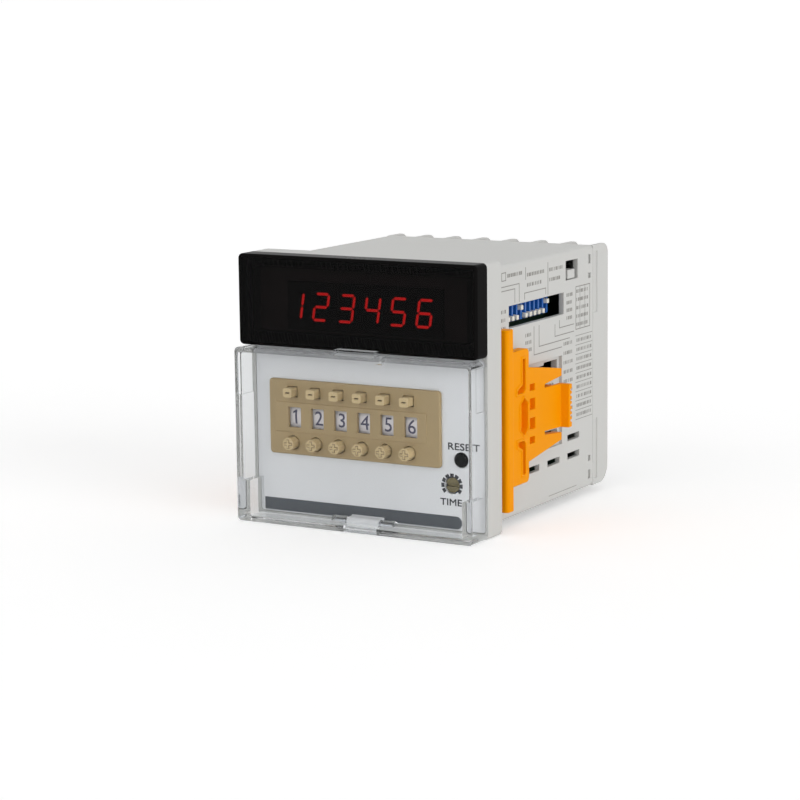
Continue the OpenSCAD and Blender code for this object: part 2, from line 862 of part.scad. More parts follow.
module front_cover() {
    notch = lug_w / 2 + run;
    color([0.85, 0.9, 0.93, 0.4]) difference() {
        union() {
            cover_shell();
            box_y(tab_x, cover_top + tab_h / 2 - sink, tab_w, tab_h + 2 * sink,
                  cover_front_y, cover_front_y + tab_depth);
            both_sides() rod_x(hinge_y, hinge_z, notch, notch + knuckle_w, 2 * hinge_r);
        }
        // Room for the lug at every angle of the cover
        box_y(0, hinge_z, 2 * notch, 2 * (hinge_r + lug_room),
              hinge_y - hinge_r - lug_room, cover_back_y + cut);
        // The edge behind the pin is round about the pin, so that it clears the flange
        difference() {
            translate([-cover_size, hinge_y, hinge_z - hinge_r - cut])
                cube([2 * cover_size, hinge_r + 2 * cut, hinge_r + cut]);
            rod_x(hinge_y, hinge_z, -cover_size - cut, cover_size + cut, 2 * hinge_r);
        }
        rod_x(hinge_y, hinge_z, -pin_half - gap, pin_half + gap, hinge_pin_d + 2 * shaft_gap);
        both_sides()
            box_x(cover_back_y - finger_l / 2 + cut, cover_top - finger_drop - finger_h / 2,
                  finger_l + 2 * cut, finger_h, cover_size / 2 - finger_recess, cover_size / 2 + cut);
        box_y(tab_x + tab_w / 2 + notch_gap + notch_w / 2, cover_top, notch_w, 2 * cover_wall + 1,
              cover_front_y - cut, cover_front_y + tab_depth);
    }
}

module hinge_pin() {
    color("silver") rod_x(hinge_y, hinge_z, -pin_half, pin_half, hinge_pin_d);
}

// Board that stands in the rails of one side
module side_board(y0) {
    box_y(side_board_x + board_t / 2, 0, board_t, cavity_h - 2 * gap, y0, side_board_y1);
}

module main_board() {
    color("darkgreen") side_board(side_board_y0 - main_board_lead);
}

module power_board() {
    color("darkgreen") mirror([1, 0, 0]) side_board(side_board_y0 - power_board_lead);
}

// Laminated core with two windows for the coil
module transformer_core() {
    color("gray") difference() {
        box_x(core_y, 0, core_l, core_h, -side_board_x + coil_over, -side_board_x + coil_over + core_t);
        for (s = [-1, 1])
            box_x(core_y + s * core_window_y, 0, core_window_l, core_window_h,
                  -side_board_x, -side_board_x + 2 * core_t);
    }
}

// Coil around the core's middle limb, through both windows
module transformer_coil() {
    outer_l = 2 * core_window_y + core_window_l - 2 * gap;
    limb_l = 2 * core_window_y - core_window_l + 2 * gap;
    color("goldenrod") difference() {
        box_x(core_y, 0, outer_l, core_window_h - 2 * gap,
              -side_board_x, -side_board_x + core_t + 2 * coil_over);
        box_x(core_y, 0, limb_l, core_h,
              -side_board_x + coil_over - gap, -side_board_x + coil_over + core_t + gap);
    }
}

module relay() {
    color("lightskyblue") box_x(part_y, relay_z, relay_l, relay_h, -side_board_x, -side_board_x + relay_t);
}

module capacitor() {
    color("midnightblue")
        rod_x(part_y, capacitor_z, -side_board_x, -side_board_x + capacitor_l, capacitor_d);
}

module dip_body() {
    color("mediumblue") difference() {
        box_x(lever_window_y, lever_body_z, lever_body_l, lever_body_h,
              side_board_x + board_t, lever_face_x);
        for (i = [1:levers])
            box_x(lever_y(i), lever_low_z + lever_travel / 2,
                  lever_size + 2 * gap, lever_size + lever_travel + 2 * gap,
                  lever_face_x - lever_sunk - gap, lever_face_x + cut);
    }
}

module dip_lever(i) {
    color("ivory") box_x(lever_y(i), lever_rest_z(i), lever_size, lever_size,
                         lever_face_x - lever_sunk, lever_face_x + lever_proud);
}

module selector_body() {
    color("dimgray") difference() {
        box_x(selector_y, selector_z, selector_body_l, selector_body_h,
              side_board_x + board_t, knob_back_x - run);
        box_x(selector_y, selector_z, stem_l + 2 * run, selector_slot_h,
              side_board_x + board_t + selector_floor, side_x);
    }
}

// Knob, with a narrow stem in the switch body's slot
module selector_knob() {
    z = selector_z - selector_h / 2 + gap + knob_h / 2;
    color("whitesmoke") {
        box_x(selector_y, z, knob_l, knob_h, knob_back_x, side_x - gap);
        box_x(selector_y, z, stem_l, stem_h,
              side_board_x + board_t + selector_floor + run, knob_back_x + sink);
    }
}

// Side view of the terminal block, with both rear corners round
module terminal_profile() {
    half = case_h / 2;
    translate([block_y0, -half + block_low_r])
        square([block_y1 - block_y0, case_h - block_low_r - block_top_r]);
    translate([block_y0, -half]) square([block_y1 - block_y0 - block_low_r, case_h]);
    translate([block_y1 - block_low_r, half - block_top_r]) square([block_low_r - block_top_r, block_top_r]);
    translate([block_y1 - block_top_r, half - block_top_r]) circle(block_top_r);
    translate([block_y1 - block_low_r, -half + block_low_r]) circle(block_low_r);
}

// Runs its children at each terminal, on the bay floor, mirrored in the lower row
module each_terminal() {
    for (i = [1:terminals], s = [-1, 1])
        translate([terminal_x(i), bay_floor_y, s * terminal_z]) mirror([0, 0, s < 0 ? 1 : 0]) children();
}

module terminal_block() {
    color("gainsboro") difference() {
        union() {
            along_x(-case_w / 2, case_w / 2) terminal_profile();
            box_y(0, 0, cavity_w - 2 * gap, cavity_h - 2 * gap, case_len - block_insert, block_y0 + sink);
            both_sides() each_latch()
                box_x(0, 0, latch_l - 2 * gap, $latch_h - 2 * gap, cavity_w / 2 - cut, side_x - barb_sunk);
        }
        each_terminal() {
            box_y(0, cut / 2, bay_w, bay_h + cut, 0, block_len);
            rod_y(0, 0, -screw_len - gap, cut, screw_d + 2 * gap);
            box_y(0, -tail_z, tail_w + 2 * gap, tail_t + 2 * gap, -block_len, cut);
        }
        box_y(0, 0, case_w - 2 * panel_side, case_h - 2 * bay_h - 2 * panel_end, block_y1 - panel_depth,
              block_y1 + cut);
        both_sides() for (s = [-1, 1])
            box_x(block_y0 + groove_start + groove_w / 2, s * (groove_half + groove_len / 2), groove_w,
                  groove_len, side_x - groove_depth, side_x + cut);
    }
}

// Tabs on the bay floors, each with a tail through the block
module terminal_tabs() {
    color("silver") each_terminal() difference() {
        union() {
            box_y(0, -tab_shift, bay_w - 2 * tab_side, tab_len, 0, tab_t);
            box_y(0, -tail_z, tail_w, tail_t, -tail_len, tab_t);
        }
        rod_y(0, 0, -cut, tab_t + cut, screw_d + 2 * gap);
    }
}

module terminal_clamps() {
    color("gold") each_terminal() difference() {
        box_y(0, 0, bay_w - 2 * clamp_side, clamp_h, tab_t, tab_t + clamp_t);
        rod_y(0, 0, 0, tab_t + clamp_t + cut, screw_d + 2 * gap);
    }
}

// Screws with crossed slots
module terminal_screws() {
    y0 = tab_t + clamp_t;
    y1 = y0 + head_h;
    color("silver") each_terminal() difference() {
        union() {
            rod_y(0, 0, -screw_len, y0 + sink, screw_d);
            rod_y(0, 0, y0, y1, screw_head_d);
        }
        box_y(0, 0, cross_l, cross_w, y1 - head_h / 2, y1 + cut);
        box_y(0, 0, cross_w, cross_l, y1 - head_h / 2, y1 + cut);
    }
}

// Ladder, web and two prongs, drawn back and up about the bracket's middle
module bracket_outline() {
    r = ladder_corner_r;
    l = ladder_len - bar_d / 2;
    translate([bar_y + bar_d / 2, -ladder_h / 2]) square([l - r, ladder_h]);
    translate([bar_y + bar_d / 2, -ladder_h / 2 + r]) square([l, ladder_h - 2 * r]);
    for (s = [-1, 1]) {
        translate([ladder_y1 - r, s * (ladder_h / 2 - r)]) circle(r);
        polygon([[ladder_y1 - cut, s * prong_root], [prong_y1, s * prong_tip],
                 [prong_y1, s * (prong_tip - prong_w)], [fork_y, s * fork_half],
                 [fork_y, 0], [ladder_y1 - cut, 0]]);
    }
}

// Two bent slots and the lozenge between them, wider by e all round, drawn back and up from the bar
module spring_slots(e) {
    translate([bar_y, 0]) {
        for (s = [-1, 1]) {
            outer = spring_y + spring_w + e;
            foot_top = spring_low + spring_foot_w + e;
            low = spring_low - e;
            polygon([[spring_y - e, s * (spring_top + e)], [outer, s * (spring_top + e)],
                     [outer, s * (low + spring_knee)], [outer - spring_foot_w, s * low],
                     [spring_foot_y - e, s * low],
                     [spring_foot_y - e, s * foot_top], [spring_y - e, s * (foot_top + spring_slope)]]);
        }
        polygon([for (s = [-1, 1], p = [[-1, lozenge_flat], [0, lozenge_tip + e], [1, lozenge_flat]])
                 [lozenge_y - s * p[0] * (lozenge_half_w + e), s * p[1]]]);
    }
}

// Blind pockets that make the ladder springy
module ladder_pockets() {
    spring_slots(0);
    translate([bar_y, 0]) for (s = [-1, 1]) {
        translate([web_y, s * web_outer_z - web_outer_h / 2]) square([web_outer_l, web_outer_h]);
        translate([web_y, s * web_inner_z - web_inner_h / 2]) square([web_inner_l, web_inner_h]);
    }
}

// Grooves across the rear edge of the tongue's lip, which leave ridges for a finger
module lip_grooves() {
    x1 = bracket_out_x + tongue_rise + lip_h;
    y1 = lip_y + lip_l;
    count = floor(tongue_w / ridge_pitch) - 1;
    for (k = [0 : count - 1])
        box_x(y1 - ridge_l / 2 + cut / 2, (k - (count - 1) / 2) * ridge_pitch, ridge_l + cut, ridge_gap,
              x1 - ridge_depth, x1 + cut);
}

// Release tongue with its lip and pawl, drawn across and back
module tongue_outline() {
    root = bracket_out_x - tongue_t;
    tip = bracket_out_x + tongue_rise;
    pawl_y = lip_y - pawl_back;
    polygon([[root, fork_y - tongue_root], [bracket_out_x, fork_y - tongue_root], [bracket_out_x, fork_y],
             [tip, lip_y], [tip + lip_h, lip_y + run], [tip + lip_h, lip_y + lip_l],
             [tip - tongue_t, lip_y + lip_l], [tip - tongue_t, pawl_y], [side_x, pawl_y],
             [side_x, pawl_y - pawl_tip], [root + pawl_step, pawl_y - pawl_l], [root, fork_y]]);
}

// Bar that bears on the panel, drawn across and back
module bar_outline() {
    r = bar_edge_r;
    w = bracket_t + bar_proud;
    translate([bracket_in_x, bar_y]) square([w - r, bar_d]);
    translate([bracket_in_x, bar_y + r]) square([w, bar_d - 2 * r]);
    for (y = [r, bar_d - r]) translate([bracket_in_x + w - r, bar_y + y]) circle(r);
}

// Stem through a slot of the sleeve, with a foot behind the slot's edge
module hook(s) {
    y = (hook_y0 + hook_y1) / 2;
    foot_x = cavity_w / 2 - pad_t - run;
    box_x(y, s * slot_z, hook_l, hook_t, foot_x - hook_foot, bracket_in_x + sink);
    box_x(y, s * (slot_z + hook_foot), hook_l, hook_t, foot_x - hook_foot, foot_x);
}

module bracket() {
    translate([0, 0, bracket_z]) {
        difference() {
            union() {
                along_x(bracket_in_x, bracket_out_x) bracket_outline();
                along_x(bracket_out_x - sink, bracket_out_x + pocket_rim_h) spring_slots(pocket_rim_w);
            }
            along_x(bracket_out_x - pocket_depth, bracket_out_x + pocket_rim_h + cut) ladder_pockets();
        }
        translate([0, 0, -bar_h / 2]) linear_extrude(bar_h) bar_outline();
        difference() {
            translate([0, 0, -tongue_w / 2]) linear_extrude(tongue_w) tongue_outline();
            lip_grooves();
        }
        for (s = [-1, 1]) hook(s);
    }
}

module bracket_right() {
    color("orange") bracket();
}

module bracket_left() {
    color("orange") mirror([1, 0, 0]) bracket();
}

case();
front_plate();
front_strip();
display_window();
led_digits();
display_board();
switch_frame();
switch_wafers();
switch_end_plate();
for (i = [1:units]) number_wheel(i);
for (i = [1:units]) minus_button(i);
for (i = [1:units]) plus_button(i);
reset_button();
reset_switch();
trimmer_body();
trimmer_rotor();
front_cover();
hinge_pin();
main_board();
power_board();
transformer_core();
transformer_coil();
relay();
capacitor();
dip_body();
for (i = [1:levers]) dip_lever(i);
selector_body();
selector_knob();
terminal_block();
terminal_tabs();
terminal_clamps();
terminal_screws();
bracket_right();
bracket_left();
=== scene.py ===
"""Looks of a panel-mounted preset counter, dressed over its packed construction model."""

import json
import logging
import math
from collections.abc import Iterable, Sequence
from dataclasses import dataclass, field
from enum import Enum

import bmesh
import bpy
from mathutils import Matrix, Vector

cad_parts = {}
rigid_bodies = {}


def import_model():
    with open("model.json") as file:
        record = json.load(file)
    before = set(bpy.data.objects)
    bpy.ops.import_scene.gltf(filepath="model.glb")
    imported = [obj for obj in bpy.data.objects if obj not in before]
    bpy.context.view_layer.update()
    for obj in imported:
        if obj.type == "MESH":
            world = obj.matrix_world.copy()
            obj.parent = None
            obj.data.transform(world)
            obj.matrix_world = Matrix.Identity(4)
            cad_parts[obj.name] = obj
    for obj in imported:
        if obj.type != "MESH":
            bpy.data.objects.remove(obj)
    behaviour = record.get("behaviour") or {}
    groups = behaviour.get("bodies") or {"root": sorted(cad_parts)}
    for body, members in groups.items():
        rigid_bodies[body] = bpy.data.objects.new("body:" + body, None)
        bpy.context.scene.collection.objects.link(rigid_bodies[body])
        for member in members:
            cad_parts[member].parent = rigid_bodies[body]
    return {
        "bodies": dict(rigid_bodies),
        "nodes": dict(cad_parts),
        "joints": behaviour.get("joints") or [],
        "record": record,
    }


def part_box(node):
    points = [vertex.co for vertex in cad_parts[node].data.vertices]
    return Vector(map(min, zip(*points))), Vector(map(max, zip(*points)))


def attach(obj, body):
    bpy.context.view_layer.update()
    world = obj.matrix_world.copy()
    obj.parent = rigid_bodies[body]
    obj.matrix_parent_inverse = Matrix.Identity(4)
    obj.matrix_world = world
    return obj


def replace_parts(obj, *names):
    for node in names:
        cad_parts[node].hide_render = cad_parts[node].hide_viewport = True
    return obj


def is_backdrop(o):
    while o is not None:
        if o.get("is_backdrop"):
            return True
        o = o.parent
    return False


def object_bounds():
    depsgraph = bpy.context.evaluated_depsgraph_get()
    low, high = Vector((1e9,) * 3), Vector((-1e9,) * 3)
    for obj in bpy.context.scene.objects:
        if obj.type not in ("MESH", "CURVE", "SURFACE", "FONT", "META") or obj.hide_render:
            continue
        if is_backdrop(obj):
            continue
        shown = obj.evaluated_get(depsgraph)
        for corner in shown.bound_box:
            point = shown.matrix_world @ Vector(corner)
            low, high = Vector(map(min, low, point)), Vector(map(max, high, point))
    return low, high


LOG = logging.getLogger("panel_counter")
MM = 0.001
# Merging, rounding and shading of meshes
MERGE_DISTANCE = 0.002 * MM
FLAT_ANGLE = math.radians(0.6)
EDGE_ANGLE = math.radians(35)
FACE_WEIGHT = 80
STALE_LAYERS = ("custom_normal", "sharp_face", "sharp_edge")
# Print and lettering
INK_DEPTH = 0.02 * MM
LETTER_STEPS = 3
LETTER_HALF = 0.5
WALL_TILT = 0.5
# Shader values
NOISE_MIDDLE = 0.5
WHITE = (1.0, 1.0, 1.0, 1.0)
# Curve of screen colours
FULL_LEVEL = 255
DARK_LIMIT = 0.04045
DARK_SLOPE = 12.92
CURVE_OFFSET = 0.055
CURVE_POWER = 2.4
# Types
Colour = tuple[float, float, float, float]
Point = tuple[float, float]
Mesh = bpy.types.Mesh
Socket = bpy.types.NodeSocket


def screen(red: int, green: int, blue: int) -> Colour:
    """Turn a screen colour into a linear one.

    Args:
        red: Red level, 0 to 255.
        green: Green level, 0 to 255.
        blue: Blue level, 0 to 255.

    Returns:
        The linear colour with full alpha.
    """
    linear = []
    for level in (red, green, blue):
        share = level / FULL_LEVEL
        curved = ((share + CURVE_OFFSET) / (1 + CURVE_OFFSET)) ** CURVE_POWER
        linear.append(share / DARK_SLOPE if share <= DARK_LIMIT else curved)
    return (linear[0], linear[1], linear[2], 1.0)


class NodeBoard:
    """Adds and links the nodes of one tree."""

    def __init__(self, tree: bpy.types.NodeTree) -> None:
        """Keep the tree that the nodes go into."""
        self.tree = tree

    def add(self, kind: str, values: dict | None = None, **settings: object) -> bpy.types.Node:
        """Add one node.

        Args:
            kind: Blender's name of the node type.
            values: Input values, by socket name or number.
            **settings: Properties of the node itself.

        Returns:
            The new node.
        """
        node = self.tree.nodes.new(kind)
        for name, value in settings.items():
            setattr(node, name, value)
        for name, value in (values or {}).items():
            node.inputs[name].default_value = value
        return node

    def link(self, source: Socket, target: Socket) -> None:
        """Join an output to an input."""
        self.tree.links.new(source, target)

    def feed(self, target: Socket, term: object) -> None:
        """Lead an output into an input, or set a plain value there.

        Args:
            target: The input.
            term: An output socket or a value.
        """
        if isinstance(term, Socket):
            self.link(term, target)
        else:
            target.default_value = term

    def maths(self, operation: str, *terms: object) -> Socket:
        """Add a Math node whose terms are numbers or sockets.

        Args:
            operation: Blender's name of the operation.
            *terms: Numbers or output sockets.

        Returns:
            The result's socket.
        """
        node = self.add("ShaderNodeMath", operation=operation)
        for target, term in zip(node.inputs, terms):
            self.feed(target, term)
        return node.outputs[0]

    def noise(self, vector: Socket, scale: object, detail: float) -> Socket:
        """Add a noise texture.

        Args:
            vector: Where it is read.
            scale: A number or an output socket.
            detail: How many finer layers it has.

        Returns:
            The noise's value.
        """
        node = self.add("ShaderNodeTexNoise", {"Detail": detail})
        self.link(vector, node.inputs["Vector"])
        self.feed(node.inputs["Scale"], scale)
        return node.outputs[0]

    def sway(self, noise: Socket, size: Socket) -> Socket:
        """Centre a noise on zero and multiply it by a size."""
        return self.maths("MULTIPLY", self.maths("SUBTRACT", noise, NOISE_MIDDLE), size)

    def tinted(self, colour: Socket, tone: Socket) -> Socket:
        """Multiply a colour by a value that changes over the surface.

        Args:
            colour: The plain colour.
            tone: The value.

        Returns:
            The changing colour.
        """
        node = self.add("ShaderNodeVectorMath", operation="SCALE")
        self.link(colour, node.inputs[0])
        self.link(tone, node.inputs["Scale"])
        return node.outputs[0]


class Effect(Enum):
    """Surface effects that several finishes share."""

    MOULD_GRAIN = "mould_grain"
    BRUSHED_STREAKS = "brushed_streaks"
    POLISH_RIPPLE = "polish_ripple"


class EffectGroups:
    """Shader node groups of the shared effects, each built once."""

    INPUTS = (
        ("Colour", "NodeSocketColor"),
        ("Drift", "NodeSocketFloat"),
        ("Grain", "NodeSocketFloat"),
        ("Gloss", "NodeSocketFloat"),
        ("Spread", "NodeSocketFloat"),
    )
    OUTPUTS = (
        ("Colour", "NodeSocketColor"),
        ("Roughness", "NodeSocketFloat"),
        ("Height", "NodeSocketFloat"),
    )
    BROAD_SCALE = 38.0
    BROAD_DETAIL = 2.0
    STRETCH = (0.03, 1.0, 1.0)
    STREAK_DETAIL = 3.0
    RIPPLE_SCALE = 90.0
    RIPPLE_DETAIL = 1.0
    GRAIN_DETAIL = 4.0

    def __init__(self) -> None:
        """Start with no group built."""
        self.built: dict[Effect, bpy.types.NodeTree] = {}

    def get(self, effect: Effect) -> bpy.types.NodeTree:
        """Return the group of an effect, and build it the first time.

        Args:
            effect: The effect.

        Returns:
            Its group.
        """
        if effect not in self.built:
            self.built[effect] = self._build(effect)
        return self.built[effect]

    def _build(self, effect: Effect) -> bpy.types.NodeTree:
        """Build one effect's group.

        Args:
            effect: The effect to build.

        Returns:
            The group, with a colour, a roughness and a height that change over the surface.
        """
        tree = bpy.data.node_groups.new(effect.value, "ShaderNodeTree")
        for name, kind in self.INPUTS:
            tree.interface.new_socket(name=name, in_out="INPUT", socket_type=kind)
        for name, kind in self.OUTPUTS:
            tree.interface.new_socket(name=name, in_out="OUTPUT", socket_type=kind)
        board = NodeBoard(tree)
        given = board.add("NodeGroupInput").outputs
        result = board.add("NodeGroupOutput").inputs
        place = board.add("ShaderNodeTexCoord").outputs["Object"]
        broad = board.noise(place, self.BROAD_SCALE, self.BROAD_DETAIL)
        fine = self._fine(effect, board, place, given["Grain"])
        drift = board.maths("ADD", board.sway(broad, given["Drift"]), board.sway(fine, given["Drift"]))
        tone = board.maths("ADD", drift, 1.0)
        board.link(board.tinted(given["Colour"], tone), result["Colour"])
        spread = board.maths("ADD", board.sway(fine, given["Spread"]), board.sway(broad, given["Spread"]))
        board.link(board.maths("ADD", spread, given["Gloss"]), result["Roughness"])
        board.link(fine, result["Height"])
        return tree

    def _fine(self, effect: Effect, board: NodeBoard, place: Socket, grain: Socket) -> Socket:
        """Add the fine pattern that tells one effect from another.

        Args:
            effect: The effect.
            board: The group's nodes.
            place: Object coordinates.
            grain: The group's input for the pattern's fineness.

        Returns:
            The pattern's value.
        """
        if effect is Effect.POLISH_RIPPLE:
            return board.noise(place, self.RIPPLE_SCALE, self.RIPPLE_DETAIL)
        if effect is Effect.MOULD_GRAIN:
            return board.noise(place, grain, self.GRAIN_DETAIL)
        mapping = board.add("ShaderNodeMapping", {"Scale": self.STRETCH})
        board.link(place, mapping.inputs["Vector"])
        return board.noise(mapping.outputs[0], grain, self.STREAK_DETAIL)


EFFECTS = EffectGroups()


class MaterialBench:
    """A material under work, with its Principled shader."""

    def __init__(self, name: str) -> None:
        """Start a material with one Principled shader.

        Args:
            name: Name of the material.
        """
        self.material = bpy.data.materials.new(name)
        self.material.use_nodes = True
        self.board = NodeBoard(self.material.node_tree)
        self.shader = self.material.node_tree.nodes["Principled BSDF"]
        self.output = self.material.node_tree.nodes["Material Output"]

    def set(self, **values: object) -> None:
        """Set plain values on the shader, with _ for a space in a socket's name."""
        for name, value in values.items():
            self.shader.inputs[name.replace("_", " ")].default_value = value

    def effect(self, effect: Effect, values: dict[str, object]) -> bpy.types.Node:
        """Place a shared effect with its own values and return its node."""
        return self.board.add("ShaderNodeGroup", values, node_tree=EFFECTS.get(effect))

    def bump(self, height: Socket, strength: float, distance: float) -> None:
        """Lead a height into the shader's normal.

        Args:
            height: The height over the surface.
            strength: Share of the relief that shows.
            distance: Depth of the relief.
        """
        node = self.board.add("ShaderNodeBump", {"Strength": strength, "Distance": distance})
        self.board.link(height, node.inputs["Height"])
        self.board.link(node.outputs[0], self.shader.inputs["Normal"])

    def wear(self, node: bpy.types.Node, strength: float, distance: float) -> None:
        """Lead an effect's colour, roughness and height into the shader.

        Args:
            node: The effect's node.
            strength: Share of the relief that shows.
            distance: Depth of the relief.
        """
        self.board.link(node.outputs["Colour"], self.shader.inputs["Base Color"])
        self.board.link(node.outputs["Roughness"], self.shader.inputs["Roughness"])
        self.bump(node.outputs["Height"], strength, distance)


def background_rays(board: NodeBoard) -> Socket:
    """Tell the rays that show the background from those that light the object.

    Args:
        board: Nodes of a material or of the world.

    Returns:
        1 for rays that show the background and 0 for the others.
    """
    path = board.add("ShaderNodeLightPath").outputs
    mirrored = board.maths("MAXIMUM", path["Is Camera Ray"], path["Is Glossy Ray"])
    return board.maths("MAXIMUM", mirrored, path["Is Transmission Ray"])


@dataclass(frozen=True)
class Finish:
    """A finish with a name, which makes its material once."""

    name: str

    def material(self) -> bpy.types.Material:
        """Return the finish's material."""
        return bpy.data.materials.get(self.name) or self.build()

    def build(self) -> bpy.types.Material:
        """Build the material."""
        raise NotImplementedError


@dataclass(frozen=True)
class MouldedPlastic(Finish):
    """Injection-moulded plastic with a fine eroded grain."""

    colour: Colour
    gloss: float = 0.45
    spread: float = 0.10
    drift: float = 0.03
    grain: float = 2600.0
    relief: float = 0.010 * MM
    relief_share: float = 0.5
    ior: float = 1.5
    depth_glow: float = 0.0
    glow_depth: float = 0.6 * MM
    glow_reach: tuple[float, float, float] = (1.0, 0.5, 0.2)

    def build(self) -> bpy.types.Material:
        """Build the grain, the tone drift and, where it glows, the light that seeps in.

        Returns:
            The material.
        """
        bench = MaterialBench(self.name)
        grain = bench.effect(Effect.MOULD_GRAIN, {
            "Colour": self.colour, "Drift": self.drift, "Grain": self.grain,
            "Gloss": self.gloss, "Spread": self.spread})
        bench.wear(grain, self.relief_share, self.relief)
        bench.set(IOR=self.ior, Subsurface_Weight=self.depth_glow, Subsurface_Scale=self.glow_depth)
        bench.set(Subsurface_Radius=self.glow_reach)
        return bench.material


@dataclass(frozen=True)
class ClearPlastic(Finish):
    """Polished see-through plastic that lets the lamps reach what is behind it."""

    tint: Colour
    shade: Colour
    ior: float = 1.49
    roughness: float = 0.02
    drift: float = 0.02
    relief: float = 0.02 * MM
    relief_share: float = 0.05

    def build(self) -> bpy.types.Material:
        """Build the glass, with a stand-in for rays from the lamps.

        Returns:
            The material.
        """
        bench = MaterialBench(self.name)
        board = bench.board
        ripple = bench.effect(Effect.POLISH_RIPPLE, {
            "Colour": self.tint, "Drift": self.drift, "Gloss": self.roughness, "Spread": 0.0})
        board.link(ripple.outputs["Colour"], bench.shader.inputs["Base Color"])
        bench.bump(ripple.outputs["Height"], self.relief_share, self.relief)
        bench.set(Roughness=self.roughness, IOR=self.ior, Transmission_Weight=1.0)
        path = board.add("ShaderNodeLightPath")
        clear = board.add("ShaderNodeBsdfTransparent", {"Color": self.shade})
        mix = board.add("ShaderNodeMixShader")
        board.link(path.outputs["Is Shadow Ray"], mix.inputs[0])
        board.link(bench.shader.outputs[0], mix.inputs[1])
        board.link(clear.outputs[0], mix.inputs[2])
        board.link(mix.outputs[0], bench.output.inputs["Surface"])
        return bench.material


@dataclass(frozen=True)
class PlatedMetal(Finish):
    """Bright or brushed metal."""

    colour: Colour
    gloss: float = 0.28
    spread: float = 0.16
    drift: float = 0.12
    grain: float = 9000.0
    relief: float = 0.004 * MM
    relief_share: float = 0.4

    def build(self) -> bpy.types.Material:
        """Build the streaks and the metal.

        Returns:
            The material.
        """
        bench = MaterialBench(self.name)
        streaks = bench.effect(Effect.BRUSHED_STREAKS, {
            "Colour": self.colour, "Drift": self.drift, "Grain": self.grain,
            "Gloss": self.gloss, "Spread": self.spread})
        bench.wear(streaks, self.relief_share, self.relief)
        bench.set(Metallic=1.0)
        return bench.material


@dataclass(frozen=True)
class GlowingSegment(Finish):
    """A lit bar of a digit."""

    colour: Colour
    strength: float
    body: Colour
    gloss: float = 0.4
    spread: float = 0.1
    drift: float = 0.35
    grain: float = 1500.0

    def build(self) -> bpy.types.Material:
        """Build the light, a little uneven over the bar.

        Returns:
            The material.
        """
        bench = MaterialBench(self.name)
        glow = bench.effect(Effect.MOULD_GRAIN, {
            "Colour": self.colour, "Drift": self.drift, "Grain": self.grain,
            "Gloss": self.gloss, "Spread": self.spread})
        bench.board.link(glow.outputs["Colour"], bench.shader.inputs["Emission Color"])
        bench.board.link(glow.outputs["Roughness"], bench.shader.inputs["Roughness"])
        bench.set(Base_Color=self.body, Emission_Strength=self.strength)
        return bench.material


@dataclass(frozen=True)
class CircuitBoard(Finish):
    """Board with traces under a lacquer."""

    colour: Colour
    trace: Colour
    pitch: float = 320.0
    trace_width: float = 0.04
    trace_blur: float = 0.2
    relief: float = 0.03 * MM
    relief_share: float = 0.4
    roughness: float = 0.35

    def build(self) -> bpy.types.Material:
        """Build the traces as a brick pattern across the board's face.

        Returns:
            The material.
        """
        bench = MaterialBench(self.name)
        board = bench.board
        place = board.add("ShaderNodeTexCoord").outputs["Object"]
        mapping = board.add("ShaderNodeMapping", {"Rotation": (0.0, math.pi / 2, 0.0)})
        board.link(place, mapping.inputs["Vector"])
        brick = board.add("ShaderNodeTexBrick", {
            "Color1": self.colour, "Color2": self.colour, "Mortar": self.trace, "Scale": self.pitch,
            "Mortar Size": self.trace_width, "Mortar Smooth": self.trace_blur})
        board.link(mapping.outputs[0], brick.inputs["Vector"])
        board.link(brick.outputs["Color"], bench.shader.inputs["Base Color"])
        bench.bump(brick.outputs[1], self.relief_share, self.relief)
        bench.set(Roughness=self.roughness)
        return bench.material


class Lay(Enum):
    """The way that bands lie on a banded surface."""

    ACROSS = "X"
    UP = "Z"


@dataclass(frozen=True)
class BandedStack(Finish):
    """Wire turns or stacked sheets, side by side."""

    colour: Colour
    groove: Colour
    lay: Lay
    bands: float
    metallic: float = 0.0
    distortion: float = 0.6
    detail: float = 1.0
    relief: float = 0.1 * MM
    relief_share: float = 0.6
    roughness: float = 0.4

    def build(self) -> bpy.types.Material:
        """Build the bands as a wave pattern.

        Returns:
            The material.
        """
        bench = MaterialBench(self.name)
        board = bench.board
        place = board.add("ShaderNodeTexCoord").outputs["Object"]
        wave = board.add(
            "ShaderNodeTexWave",
            {"Scale": self.bands, "Distortion": self.distortion, "Detail": self.detail},
            bands_direction=self.lay.value)
        board.link(place, wave.inputs["Vector"])
        ramp = board.add("ShaderNodeValToRGB")
        ramp.color_ramp.elements[0].color = self.groove
        ramp.color_ramp.elements[1].color = self.colour
        board.link(wave.outputs["Fac"], ramp.inputs[0])
        board.link(ramp.outputs[0], bench.shader.inputs["Base Color"])
        bench.bump(wave.outputs["Fac"], self.relief_share, self.relief)
        bench.set(Roughness=self.roughness, Metallic=self.metallic)
        return bench.material


